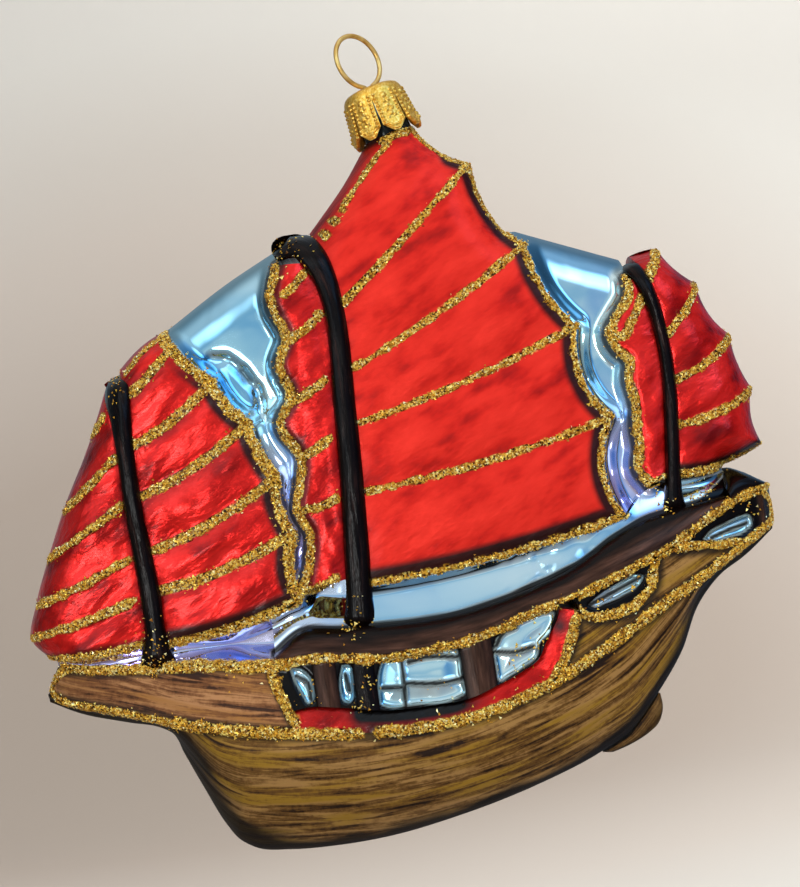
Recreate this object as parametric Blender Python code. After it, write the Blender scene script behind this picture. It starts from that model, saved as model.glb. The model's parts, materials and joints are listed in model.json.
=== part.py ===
"""A blown-glass tree ornament in the shape of a Chinese junk, with its metal crown and wire loop.

The vessel is one silvered glass envelope. Here it is split where its mould lines and painted
fields meet, so hull, deckhouse, masts, sails and mirror webs are pieces of their own, each as
thick as the ornament is there. All sizes below are in millimetres, in the frame of the ornament:
x runs from bow (minus) to stern (plus), y across it, z up along the masts, and the origin is
where a hook carries the wire loop.
"""
import math

import bmesh
import bpy
import numpy as np
from mathutils import Vector

MM = 0.001
SEAM = 0.3            # gap between neighbouring fields
RIM = 0.4             # half thickness left at a rounded outer rim
ROUND_RADIUS = 7.0    # how far in from the outline the glass rounds over

# The neck leans toward the bow from the masts' line.
NECK_LEAN = math.radians(14.0)
DOWN = np.array((math.sin(NECK_LEAN), -math.cos(NECK_LEAN)))
SIDE = np.array((math.cos(NECK_LEAN), math.sin(NECK_LEAN)))

# Wire loop: one wire bent to a ring, its two strands pass the crown and splay in the neck.
WIRE_RADIUS = 0.4
RING_RADIUS = 4.5
RING_CENTRE = RING_RADIUS - WIRE_RADIUS
RING_TURN = math.radians(42.0)
STRAND_OFFSET = 0.55
LEG_TIP = (2.6, 16.6)          # offset from the neck's axis, distance below the hook

# Pressed crown: distances below the hook, radii of its outer face.
CROWN_TOP = 9.1
CROWN_WALL = 0.35
CROWN_HOLE = 1.5
CROWN_PROFILE = ((9.1, 3.6), (9.4, 4.4), (10.0, 4.85), (11.2, 5.1), (12.2, 5.2))
PETALS = 8
PETAL_COLUMNS = 4
PETAL_ROWS = ((13.4, 5.32), (14.8, 5.45), (16.2, 5.6))
PETAL_TIP = (17.6, 5.75)
PETAL_POINT = 1.6              # how far a petal's corners end above its tip
PETAL_SLIT = 0.11              # half of the slit at the petals' corners, in radians

NECK_RADIUS = 4.05
NECK_BORE = 3.4
NECK_TOP = CROWN_TOP + CROWN_WALL + SEAM
NECK_FOOT = 17.2
SHOULDER = NECK_FOOT + SEAM

# Masts: points down the centre line with the width there (x, z, width).
FORE_MAST = ((-44.9, -49.7, 3.6), (-44.4, -53.0, 3.2), (-44.4, -60.0, 2.6), (-44.4, -70.0, 2.6),
             (-44.0, -78.0, 2.8), (-43.6, -86.0, 3.0), (-43.8, -96.1, 3.3))
MAIN_MAST = ((-16.6, -34.0, 2.2), (-14.6, -32.6, 2.8), (-12.2, -32.9, 3.2), (-10.4, -35.4, 3.3),
             (-9.2, -39.0, 3.0), (-8.5, -43.5, 2.9), (-8.4, -51.0, 3.0), (-8.9, -59.0, 3.2),
             (-9.2, -67.0, 3.3), (-9.7, -75.0, 3.5), (-10.3, -83.0, 3.7), (-11.2, -93.8, 4.0))
MIZZEN_MAST = ((39.1, -43.4, 2.6), (40.6, -46.6, 2.2), (41.8, -51.4, 1.9), (42.4, -57.0, 1.8),
               (42.3, -65.0, 1.9), (41.6, -72.0, 2.0), (40.8, -79.0, 2.1), (40.1, -83.1, 2.3))
MAST_LIFT = 1.1

# Battens aft of each mast: height at the mast, leech tip x and z, depth of the scallop below.
MAIN_BATTENS = ((-18.1, 8.4, -16.0, 1.2), (-44.0, 16.8, -23.2, 1.6), (-54.2, 23.2, -38.2, 1.4),
                (-62.8, 29.3, -52.3, 2.2), (-73.6, 32.7, -67.5, 2.3), (-88.0, 32.3, -83.2, 0.0))
FORE_BATTENS = ((-49.2, -36.4, -43.4, 0.4), (-53.2, -35.0, -46.4, 0.4), (-61.2, -29.2, -53.0, 0.7),
                (-69.5, -24.3, -60.3, 0.7), (-78.3, -21.0, -69.4, 1.0), (-84.6, -19.7, -78.4, 1.1),
                (-93.0, -20.1, -89.0, 0.0))
MIZZEN_BATTENS = ((-43.6, 44.9, -41.4, 0.6), (-55.9, 50.4, -47.8, 1.0), (-63.2, 54.7, -56.9, 0.6),
                  (-70.2, 57.0, -66.0, 1.0), (-78.0, 57.5, -75.4, 0.0))
BATTEN_DROOP = 1.0

# Sail forward of each mast: height at the mast, edge x and z.
MAIN_LUFF = ((-36.4, -16.6, -36.0), (-38.6, -18.2, -41.3), (-44.8, -16.6, -48.1),
             (-48.5, -18.3, -51.6), (-55.6, -17.3, -57.8), (-58.5, -19.4, -60.8),
             (-64.6, -16.9, -67.0), (-69.5, -17.7, -71.4), (-74.3, -18.7, -75.2),
             (-78.0, -17.2, -78.8), (-82.5, -17.8, -83.3), (-86.8, -19.6, -87.6))
FORE_LUFF = ((-51.4, -47.8, -52.2), (-55.0, -51.2, -59.3), (-62.5, -57.3, -70.2),
             (-70.3, -60.9, -77.8), (-79.2, -63.7, -84.4), (-85.6, -65.3, -89.8),
             (-92.9, -62.6, -93.6))
MIZZEN_LUFF = ((-46.6, 38.3, -46.0), (-48.0, 38.2, -48.5), (-50.4, 35.9, -51.8),
               (-52.4, 34.3, -54.1), (-55.2, 34.9, -56.8), (-58.2, 36.6, -58.9),
               (-61.8, 36.2, -62.2), (-66.0, 36.7, -66.2), (-69.7, 36.3, -69.8),
               (-73.1, 36.3, -73.2), (-76.2, 35.7, -76.4), (-78.2, 37.1, -78.9))

# Long lines of the hull from bow to stern (x, z).
KEEL = ((-63.4, -100.9), (-60.0, -103.0), (-51.0, -105.7), (-45.2, -107.8), (-43.7, -111.6),
        (-40.8, -118.2), (-38.3, -124.0), (-36.2, -126.9), (-33.4, -128.9), (-28.0, -129.9),
        (-20.0, -130.3), (-12.0, -130.0), (0.0, -128.2), (13.7, -124.9), (24.1, -121.3),
        (29.4, -118.6), (34.3, -113.6), (39.5, -107.1), (43.6, -99.6), (47.6, -96.6),
        (52.1, -94.3), (57.4, -90.4))
LOWER_LINE = ((-63.4, -98.5), (-53.6, -101.0), (-42.0, -104.3), (-30.4, -107.2), (-21.6, -108.9),
              (-6.9, -110.7), (2.0, -110.4), (8.4, -109.3), (15.1, -107.4), (26.3, -102.5),
              (37.7, -96.8), (46.6, -92.6), (54.5, -88.7), (57.4, -87.6))
BOW_TOP = ((-61.8, -94.2), (-55.6, -95.5), (-49.6, -96.2), (-37.4, -96.8), (-27.1, -98.2),
           (-24.0, -98.3))
RAIL_LOW = ((-25.0, -98.2), (-20.0, -98.0), (-9.0, -99.4), (-2.6, -99.4), (2.5, -98.9),
            (8.0, -98.0), (15.2, -96.0), (23.4, -94.1), (29.2, -92.1), (38.9, -88.8),
            (43.4, -86.4), (48.0, -84.1), (52.5, -82.5), (57.0, -82.0))
RAIL_TOP = ((-25.0, -96.4), (-20.8, -93.9), (-13.8, -94.3), (5.7, -94.2), (10.1, -93.4),
            (15.8, -92.1), (23.0, -89.8), (29.8, -86.4), (33.8, -84.8), (41.0, -83.3),
            (49.4, -82.2))
POOP_TOP = ((49.4, -78.6), (51.0, -78.4), (53.1, -79.2), (55.2, -80.6), (56.4, -81.3))
QUARTER_RIM = ((22.6, -97.0), (24.4, -97.7), (28.2, -97.8), (32.1, -96.6), (34.2, -94.8),
               (35.6, -91.0))
STERN_LINE = ((38.9, -88.8), (43.0, -89.4), (47.6, -89.9), (50.4, -90.2))
QUARTER_TOP = ((22.8, -97.4), (24.4, -98.1), (28.2, -98.2), (32.1, -97.0), (34.4, -95.1),
               (36.0, -90.9), (38.9, -89.2), (43.0, -89.8), (48.7, -90.5))
DECKHOUSE_END = ((17.3, -106.5), (19.9, -102.3), (21.4, -99.2), (22.3, -96.8))
SILL_TOP = ((-25.0, -106.2), (-15.0, -107.4), (-6.9, -108.0), (4.0, -107.9), (10.0, -105.9),
            (16.5, -102.6), (17.7, -99.8), (18.7, -97.2), (19.2, -95.6))
WAIST_TOP = ((-25.0, -91.0), (-20.4, -90.1), (-19.8, -88.3), (-13.0, -87.4))
AFT_DECK_TOP = ((32.6, -83.8), (33.6, -82.8), (36.9, -79.6), (38.8, -79.1))
FORE_DECK_TOP = ((-62.0, -94.1), (-46.0, -93.4))

# Fields of the deckhouse from bow to stern (name, finish, spans as x below and above).
DECKHOUSE = (
    ("window_1", "mirror", ((-23.0, -25.4), (-21.5, -22.8), (-20.1, -20.1))),
    ("post_1", "brown", ((-19.7, -19.7), (-15.5, -15.5))),
    ("window_2", "mirror", ((-15.1, -15.1), (-13.9, -13.9))),
    ("mast_foot", "black", ((-13.4, -13.4), (-9.7, -9.7))),
    ("window_3", "mirror", ((-9.3, -9.3), (3.2, 3.2))),
    ("post_2", "brown", ((3.7, 3.7), (8.7, 8.7))),
    ("window_4", "mirror", ((9.2, 9.2), (16.2, 18.6))),
)

# Rudder lobe: fore and aft edge points (x, z, x, z).
RUDDER = ((34.9, -113.4, 35.3, -113.5), (33.5, -114.9, 35.4, -115.6), (31.6, -116.9, 34.5, -118.0),
          (29.1, -119.3, 32.3, -119.7), (26.6, -120.6, 29.6, -120.9), (24.6, -121.6, 26.4, -121.9))
RUDDER_HALF = 2.4

# Half breadth along the hull (x, at the lower line, at the rail's foot, at the rail's top).
BREADTH = ((-63.4, 4.0, 3.6, 3.2), (-56.0, 8.5, 8.0, 6.5), (-46.0, 12.5, 11.8, 9.5),
           (-34.0, 15.8, 14.8, 12.0), (-15.0, 18.0, 17.0, 14.0), (5.0, 18.6, 17.6, 14.6),
           (22.0, 18.0, 17.0, 14.2), (36.0, 15.6, 15.0, 12.6), (47.0, 12.0, 12.0, 10.6),
           (57.4, 7.0, 7.6, 7.2))
# Half thickness of the sails down the height (z, value), less toward bow and stern.
SAIL_DEPTH = ((-16.0, 4.3), (-22.0, 6.6), (-30.0, 9.2), (-42.0, 11.2), (-60.0, 12.4), (-90.0, 13.4))
DEPTH_FALL = 0.26
HALF_LENGTH = 60.0
WEB_RECESS = 3.0
EDGE_DROP = 1.0
WEB_GAP = 0.5
BILLOW = 0.5


def line_at(line, value, axis=0):
    """The other coordinate of a long line at the given x (axis 0) or z (axis 1)."""
    points = sorted((p[axis], p[1 - axis]) for p in line)
    return float(np.interp(value, [p[0] for p in points], [p[1] for p in points]))


def scalloped(battens, steps):
    """Leech outline: from each batten's tip to the next on a shallow arc pulled inwards."""
    points = []
    for (_, x0, z0, depth), (_, x1, z1, _) in zip(battens, battens[1:]):
        chord = np.array((x1 - x0, z1 - z0))
        inward = np.array((chord[1], -chord[0])) / np.hypot(*chord)
        for i in range(steps):
            t = i / steps
            points.append(tuple(np.array((x0, z0)) + t * chord + 4 * depth * t * (1 - t) * inward))
    points.append(battens[-1][1:3])
    return points


def mast_side(mast, sign, gap):
    """The line along one side of a mast, sign -1 forward or +1 aft, with a gap to it."""
    centre = np.array([p[:2] for p in mast])
    along = np.gradient(centre, axis=0)
    normal = np.stack((-along[:, 1], along[:, 0]), axis=1)
    normal /= np.hypot(*normal.T)[:, None]
    width = np.array([p[2] for p in mast])
    return centre + sign * normal * (width / 2 + gap)[:, None]


def neck_point(down, side):
    """A point of the ship's middle plane given along and across the neck's axis."""
    return DOWN * down + SIDE * side


MAIN_LEECH = scalloped(MAIN_BATTENS, 3)
FORE_LEECH = scalloped(FORE_BATTENS, 3)
MIZZEN_LEECH = scalloped(MIZZEN_BATTENS, 3)
NECK_LEFT = tuple(neck_point(SHOULDER, -4.3))
MAIN_SHOULDER = (NECK_LEFT, (-4.6, -24.2), (-8.4, -28.3), (-10.8, -30.6))
FORE_WEB_TOP = ((-16.9, -32.9), (-24.9, -36.7), (-36.4, -43.2))
AFT_WEB_TOP = ((22.3, -35.2), (31.0, -39.0), (38.4, -42.2))
UPPER_OUTLINE = (
    [p[1:3] for p in reversed(FORE_LUFF)] + [(-46.8, -50.0), (-44.6, -48.4), (-40.6, -45.0)]
    + list(reversed(FORE_WEB_TOP)) + [(-14.2, -30.9)] + list(reversed(MAIN_SHOULDER)))
STERN_OUTLINE = (
    [p for p in MAIN_LEECH if p[1] > AFT_WEB_TOP[0][1]] + list(AFT_WEB_TOP) + MIZZEN_LEECH)


def outline_distance(points):
    """Distance of each point to the ornament's upper outline."""
    best = np.full(points.shape[:-1], 1e3)
    for chain in (UPPER_OUTLINE, STERN_OUTLINE):
        for a, b in zip(chain, chain[1:]):
            a, b = np.array(a), np.array(b)
            run = b - a
            t = np.clip(((points - a) @ run) / (run @ run), 0.0, 1.0)
            best = np.minimum(best, np.linalg.norm(points - (a + t[..., None] * run), axis=-1))
    return best


def envelope(points):
    """Half thickness of the glass above the deck: full inside, rounding over at the outline."""
    depth_z, depth = zip(*sorted(SAIL_DEPTH))
    full = np.interp(points[..., 1], depth_z, depth)
    full = full * (1 - DEPTH_FALL * (points[..., 0] / HALF_LENGTH) ** 2)
    inner = np.clip(outline_distance(points) / ROUND_RADIUS, 0.0, 1.0)
    return full * np.sqrt(1 - (1 - inner) ** 2)


def new_material(name, colour, roughness, metallic=0.0):
    material = bpy.data.materials.new(name)
    material.use_nodes = True
    shader = material.node_tree.nodes["Principled BSDF"]
    shader.inputs["Base Color"].default_value = (*colour, 1.0)
    shader.inputs["Roughness"].default_value = roughness
    shader.inputs["Metallic"].default_value = metallic
    material.diffuse_color = (*colour, 1.0)
    return material


def finish(name, mesh_data, material, parent, smooth_angle=40.0):
    """Turns a bmesh in millimetres into a named object whose origin lies on its parent's."""
    bmesh.ops.recalc_face_normals(mesh_data, faces=mesh_data.faces)
    offset = parent.location if parent else Vector((0, 0, 0))
    for vert in mesh_data.verts:
        vert.co = vert.co * MM - offset
    mesh = bpy.data.meshes.new(name)
    mesh_data.to_mesh(mesh)
    mesh_data.free()
    mesh.shade_smooth()
    mesh.set_sharp_from_angle(angle=math.radians(smooth_angle))
    mesh.materials.append(material)
    item = bpy.data.objects.new(name, mesh)
    bpy.context.scene.collection.objects.link(item)
    item.parent = parent
    return item


def slab(name, grid, half, material, parent):
    """A closed piece as thick as twice its half thickness, from a grid of (x, z) points."""
    rows, columns = half.shape
    data = bmesh.new()
    sheets = []
    for sign in (-1, 1):
        sheets.append([[data.verts.new((grid[r, c, 0], sign * half[r, c], grid[r, c, 1]))
                        for c in range(columns)] for r in range(rows)])
    front, back = sheets
    for r in range(rows - 1):
        for c in range(columns - 1):
            data.faces.new((front[r][c], front[r][c + 1], front[r + 1][c + 1], front[r + 1][c]))
            data.faces.new((back[r][c], back[r + 1][c], back[r + 1][c + 1], back[r][c + 1]))
    border = ([(0, c) for c in range(columns)] + [(r, columns - 1) for r in range(1, rows)]
              + [(rows - 1, c) for c in range(columns - 2, -1, -1)]
              + [(r, 0) for r in range(rows - 2, 0, -1)])
    for (r0, c0), (r1, c1) in zip(border, border[1:] + border[:1]):
        data.faces.new((front[r0][c0], back[r0][c0], back[r1][c1], front[r1][c1]))
    return finish(name, data, material, parent)


def spread(start, end, columns, droop=0.0):
    """Points of one row from start to end, the middle lowered by droop."""
    t = np.linspace(0.0, 1.0, columns)[:, None]
    row = np.array(start) * (1 - t) + np.array(end) * t
    row[:, 1] -= 4 * droop * (t * (1 - t))[:, 0]
    return row


def trimmed(row, first, last):
    """A row whose end points are pulled in by the given gaps."""
    run = row[-1] - row[0]
    run = run / np.hypot(*run)
    row = row.copy()
    row[0] += run * first
    row[-1] -= run * last
    return row


def batten_sail(name, battens, side, steps, columns, material, parent):
    """The part of a sail aft of its mast, in rows that fan from the mast to the leech tips."""
    leech = scalloped(battens, steps)
    rows, lifts = [], []
    for k, (here, below) in enumerate(zip(battens, battens[1:])):
        last = k == len(battens) - 2
        for i in range(steps + 1 if last else steps):
            t = i / steps
            height = here[0] * (1 - t) + below[0] * t
            start = (line_at(side, height, axis=1), height)
            droop = BATTEN_DROOP * min(1.0, (k + t) / 1.5)
            rows.append(trimmed(spread(start, leech[k * steps + i], columns, droop), 0.0, 0.15))
            lifts.append(BILLOW * math.sin(math.pi * t))
    grid = np.array(rows)
    across = np.linspace(0, 1, columns)
    half = envelope(grid) + np.array(lifts)[:, None] * np.sin(np.pi * across)
    half[:, -1] -= EDGE_DROP
    return slab(name, grid, np.maximum(half, RIM), material, parent)


def foot_line(battens, table):
    """The lower edge of a sail, from its mast to the last leech tip."""
    height, tip_x, tip_z, _ = battens[-1]
    start = (line_at([tuple(p) for p in mast_side(table, 1, SEAM)], height, axis=1), height)
    return [tuple(p) for p in spread(start, (tip_x, tip_z), 9, BATTEN_DROOP)]


def luff_sail(name, luff, side, columns, material, parent):
    """The narrow part of a sail forward of its mast."""
    grid = np.array([trimmed(spread((line_at(side, z, axis=1), z), (ex, ez), columns), 0.0, 0.15)
                     for z, ex, ez in luff])
    half = envelope(grid)
    half[:, 1:-1] += BILLOW
    half[:, -1] -= EDGE_DROP
    return slab(name, grid, np.maximum(half, RIM), material, parent)


def mast(name, table, material, parent):
    """A spar that stands proud of the glass with a rounded face on both sides."""
    fore, aft = mast_side(table, -1, 0.0), mast_side(table, 1, 0.0)
    grid = np.array([spread(a, b, 5) for a, b in zip(fore, aft)])
    centre = np.repeat(grid[:, 2:3], 5, axis=1)
    crown = np.sqrt(np.clip(1 - np.linspace(-1, 1, 5) ** 2, 0, 1))
    half = np.maximum(envelope(centre), 2.0) + MAST_LIFT * crown
    return slab(name, grid, half, material, parent)


def rows_between(first, second, spans, axis, columns, gaps):
    """Rows from one long line to another, with a row through each corner of both.

    The spans are pairs of places, on the first and on the second line, along the given axis."""
    steps = np.arange(len(spans))
    stops = {float(i) for i in steps}
    for side, line in enumerate((first, second)):
        places = np.array([pair[side] for pair in spans])
        turn = 1 if places[-1] > places[0] else -1
        for corner in line:
            if turn * places[0] < turn * corner[axis] < turn * places[-1]:
                stops.add(round(float(np.interp(turn * corner[axis], turn * places, steps)), 3))
    across = np.array((0.0, 1.0)) if axis == 0 else np.array((1.0, 0.0))
    rows = []
    for stop in sorted(stops):
        ends = []
        for side, line in enumerate((first, second)):
            place = np.interp(stop, steps, [pair[side] for pair in spans])
            other = line_at(line, place, axis)
            end = (place, other) if axis == 0 else (other, place)
            ends.append(np.array(end) + across * gaps[side])
        rows.append(spread(*ends, columns))
    return np.array(rows)


def band(name, low, high, spans, columns, half_of, material, parent, gaps=(0.2, -0.2)):
    """A field between two long lines, from bow to stern."""
    grid = rows_between(low, high, spans, 0, columns, gaps)
    return slab(name, grid, np.maximum(half_of(grid), RIM), material, parent)


def web(name, left, right, spans, material, parent, columns=6):
    """A mirror field between two sails, from the top down, set back from the sails."""
    grid = rows_between(left, right, spans, 1, columns, (WEB_GAP, -WEB_GAP))
    return slab(name, grid, np.maximum(envelope(grid) - WEB_RECESS, RIM), material, parent)


def breadth(x, column):
    stations = [row[0] for row in BREADTH]
    return np.interp(x, stations, [row[column] for row in BREADTH])


def hull_half(grid):
    """Round-bilged sections: a quarter of an ellipse from the keel up to the lower line."""
    up = np.linspace(0.0, 1.0, grid.shape[1])
    return breadth(grid[..., 0], 1) * np.sqrt(1 - (1 - up) ** 2.2)


def side_half(grid):
    """The flat sides above: from the lower line's breadth in to the rail's foot."""
    up = np.linspace(0.0, 1.0, grid.shape[1])
    return breadth(grid[..., 0], 1) * (1 - up) + breadth(grid[..., 0], 2) * up


def recessed_half(grid):
    return side_half(grid) - 0.6


def rail_half(grid):
    """A rounded wale: proud at its middle, in at the deck edge."""
    up = np.linspace(0.0, 1.0, grid.shape[1])
    flat = breadth(grid[..., 0], 2) * (1 - up) + breadth(grid[..., 0], 3) * up
    return flat + 0.9 * np.sin(np.pi * up) ** 0.5


def deck_half(grid):
    """Mirror glass above the rail: from the rail's top in to the sails' feet."""
    up = np.linspace(0.0, 1.0, grid.shape[1])
    low = breadth(grid[..., 0], 3) - 1.2
    high = np.minimum(envelope(grid) - 0.8, low)
    return low * (1 - up) + high * up


def revolved(data, profile, segments):
    """A closed profile of (down, radius) turned about the neck's axis."""
    rings = []
    for down, radius in profile:
        ring = []
        for i in range(segments):
            angle = 2 * math.pi * i / segments
            spot = neck_point(down, radius * math.cos(angle))
            ring.append(data.verts.new((spot[0], radius * math.sin(angle), spot[1])))
        rings.append(ring)
    for ring, after in zip(rings, rings[1:] + rings[:1]):
        for i in range(segments):
            j = (i + 1) % segments
            data.faces.new((ring[i], ring[j], after[j], after[i]))


def crown_vert(data, down, radius, angle):
    spot = neck_point(down, radius * math.cos(angle))
    return data.verts.new((spot[0], radius * math.sin(angle), spot[1]))


def crown(name, material, parent):
    """Pressed crown: a domed disc with a hole, whose skirt is slit into pointed petals."""
    data = bmesh.new()
    count = PETALS * PETAL_COLUMNS
    skins = []
    for inner in (0.0, CROWN_WALL):
        dome = [(CROWN_TOP + inner, CROWN_HOLE)]
        dome += [(down + inner * (0.9 if k == 0 else 0.5 if k == 1 else 0.0), radius - inner)
                 for k, (down, radius) in enumerate(CROWN_PROFILE)]
        rings = [[crown_vert(data, down, radius, 2 * math.pi * i / count) for i in range(count)]
                 for down, radius in dome]
        petals = []
        for p in range(PETALS):
            rows = [[rings[-1][(p * PETAL_COLUMNS + c) % count] for c in range(PETAL_COLUMNS + 1)]]
            for down, radius in PETAL_ROWS + (PETAL_TIP,):
                part = (down - CROWN_PROFILE[-1][0]) / (PETAL_TIP[0] - CROWN_PROFILE[-1][0])
                row = []
                for c in range(PETAL_COLUMNS + 1):
                    across = 2 * c / PETAL_COLUMNS - 1
                    half_angle = math.pi / PETALS - PETAL_SLIT * part
                    angle = 2 * math.pi * (p + 0.5) / PETALS + across * half_angle
                    rise = PETAL_POINT * across ** 2 * part ** 2
                    row.append(crown_vert(data, down - rise, radius - inner, angle))
                rows.append(row)
            petals.append(rows)
        skins.append((rings, petals))
    for rings, petals in skins:
        for ring, after in zip(rings, rings[1:]):
            for i in range(count):
                j = (i + 1) % count
                data.faces.new((ring[i], ring[j], after[j], after[i]))
        for rows in petals:
            for row, after in zip(rows, rows[1:]):
                for c in range(PETAL_COLUMNS):
                    data.faces.new((row[c], row[c + 1], after[c + 1], after[c]))
    (outer_rings, outer_petals), (inner_rings, inner_petals) = skins
    for i in range(count):
        j = (i + 1) % count
        data.faces.new((outer_rings[0][i], outer_rings[0][j], inner_rings[0][j], inner_rings[0][i]))
    for outer, inner in zip(outer_petals, inner_petals):
        edge = [(r, 0) for r in range(len(outer))]
        edge += [(len(outer) - 1, c) for c in range(1, PETAL_COLUMNS + 1)]
        edge += [(r, PETAL_COLUMNS) for r in range(len(outer) - 2, -1, -1)]
        for (r0, c0), (r1, c1) in zip(edge, edge[1:]):
            data.faces.new((outer[r0][c0], outer[r1][c1], inner[r1][c1], inner[r0][c0]))
    return finish(name, data, material, parent)


def wire_path():
    """Points (across, down) of the wire in the ring's own plane, from one leg tip to the other."""
    leg = [(-LEG_TIP[0], LEG_TIP[1]), (-LEG_TIP[0] + 0.3, 14.6), (-1.5, 12.0),
           (-0.75, 10.6), (-STRAND_OFFSET, 9.7), (-STRAND_OFFSET, 9.2), (-0.8, 8.7)]
    start = math.radians(20)
    turns = np.linspace(start, 2 * math.pi - start, 33)
    ring = [(-RING_RADIUS * math.sin(a), RING_CENTRE + RING_RADIUS * math.cos(a)) for a in turns]
    return leg + ring + [(-across, down) for across, down in reversed(leg)]


def hanger(name, material, parent, sides=8):
    """Round wire swept along its path, which lies in a plane through the neck's axis."""
    flat = np.array(wire_path())
    across = np.array((SIDE[0] * math.cos(RING_TURN), math.sin(RING_TURN),
                       SIDE[1] * math.cos(RING_TURN)))
    down = np.array((DOWN[0], 0.0, DOWN[1]))
    normal = np.cross(across, down)
    centre = flat[:, :1] * across + flat[:, 1:] * down
    along = np.gradient(centre, axis=0)
    along /= np.linalg.norm(along, axis=1)[:, None]
    beside = np.cross(along, normal)
    data = bmesh.new()
    rings = []
    for spot, out in zip(centre, beside):
        ring = []
        for i in range(sides):
            a = 2 * math.pi * i / sides
            offset = WIRE_RADIUS * (math.cos(a) * out + math.sin(a) * normal)
            ring.append(data.verts.new(spot + offset))
        rings.append(ring)
    for ring, after in zip(rings, rings[1:]):
        for i in range(sides):
            j = (i + 1) % sides
            data.faces.new((ring[i], ring[j], after[j], after[i]))
    data.faces.new(rings[0])
    data.faces.new(rings[-1])
    return finish(name, data, material, parent)


def empty(name, spot, parent=None):
    item = bpy.data.objects.new(name, None)
    bpy.context.scene.collection.objects.link(item)
    item.parent = parent
    item.location = spot
    return item


def build():
    for item in list(bpy.data.objects):
        bpy.data.objects.remove(item, do_unlink=True)

    red = new_material("red_lacquer", (0.62, 0.02, 0.015), 0.25, 0.6)
    black = new_material("black_lacquer", (0.02, 0.012, 0.01), 0.25)
    brown = new_material("brown_lacquer", (0.22, 0.11, 0.045), 0.4)
    rust = new_material("bow_lacquer", (0.28, 0.13, 0.07), 0.35)
    mirror = new_material("silvered_glass", (0.62, 0.74, 0.86), 0.06, 1.0)
    gold = new_material("gold_metal", (0.83, 0.58, 0.18), 0.3, 1.0)

    glass = empty("glass_origin", (0, 0, 0))
    cap = empty("crown_origin", (0, 0, 0))

    build_sails(red, black, glass)
    build_webs(mirror, glass)
    build_hull({"brown": brown, "rust": rust, "red": red, "black": black, "mirror": mirror}, glass)

    neck = bmesh.new()
    revolved(neck, ((NECK_TOP, NECK_BORE), (NECK_TOP, NECK_RADIUS),
                    (NECK_FOOT, NECK_RADIUS), (NECK_FOOT, NECK_BORE)), 24)
    finish("neck", neck, mirror, glass)
    crown("crown_cap", gold, cap)
    hanger("wire_loop", gold, None)


def build_sails(red, black, glass):
    mast("fore_mast", FORE_MAST, black, glass)
    mast("main_mast", MAIN_MAST, black, glass)
    mast("mizzen_mast", MIZZEN_MAST, black, glass)
    fore_side = [(-42.4, -48.0)] + [tuple(p) for p in mast_side(FORE_MAST, 1, SEAM)]
    main_side = list(MAIN_SHOULDER[:3]) + [(-9.3, -31.0)]
    main_side += [tuple(p) for p in mast_side(MAIN_MAST, 1, SEAM)[4:]]
    mizzen_side = [tuple(p) for p in mast_side(MIZZEN_MAST, 1, SEAM)]
    batten_sail("main_sail", MAIN_BATTENS, main_side, 3, 9, red, glass)
    batten_sail("fore_sail", FORE_BATTENS, fore_side, 3, 7, red, glass)
    batten_sail("mizzen_sail", MIZZEN_BATTENS, mizzen_side, 3, 6, red, glass)
    luff_sail("main_luff", MAIN_LUFF, [tuple(p) for p in mast_side(MAIN_MAST, -1, SEAM)[3:]],
              4, red, glass)
    luff_sail("fore_luff", FORE_LUFF, [tuple(p) for p in mast_side(FORE_MAST, -1, SEAM)],
              6, red, glass)
    luff_sail("mizzen_luff", MIZZEN_LUFF, [tuple(p) for p in mast_side(MIZZEN_MAST, -1, SEAM)],
              4, red, glass)


def straight(start, end):
    """Spans of a band whose ends stand square to its lines."""
    return ((start, start), (end, end))


def build_webs(mirror, glass):
    luff = [(-16.9, -34.4)] + [p[1:3] for p in MAIN_LUFF]
    web("fore_web", FORE_LEECH, luff, ((-43.9, -34.8), (-57.0, -57.0), (-84.5, -84.5)),
        mirror, glass)
    aft_edge = [(37.3, -42.6), (37.6, -45.6)] + [p[1:3] for p in MIZZEN_LUFF[1:]]
    web("aft_web", MAIN_LEECH, aft_edge, ((-36.4, -43.2), (-52.0, -55.0), (-82.4, -78.4)),
        mirror, glass)

    main_foot = foot_line(MAIN_BATTENS, MAIN_MAST)[:-1] + list(AFT_DECK_TOP)
    fields = (
        ("fore_deck", BOW_TOP, FORE_DECK_TOP, straight(-58.5, -46.2)),
        ("bow_deck", BOW_TOP, foot_line(FORE_BATTENS, FORE_MAST), straight(-41.6, -25.4)),
        ("waist_deck", RAIL_TOP, WAIST_TOP, straight(-24.6, -13.8)),
        ("low_web", RAIL_TOP, main_foot, ((-8.7, -8.4), (38.5, 38.5))),
        ("stern_deck", RAIL_TOP, foot_line(MIZZEN_BATTENS, MIZZEN_MAST),
         ((41.7, 42.4), (49.2, 49.2))),
    )
    for name, low, high, spans in fields:
        band(name, low, high, spans, 4, deck_half, mirror, glass, (0.2, -WEB_GAP))


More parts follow.
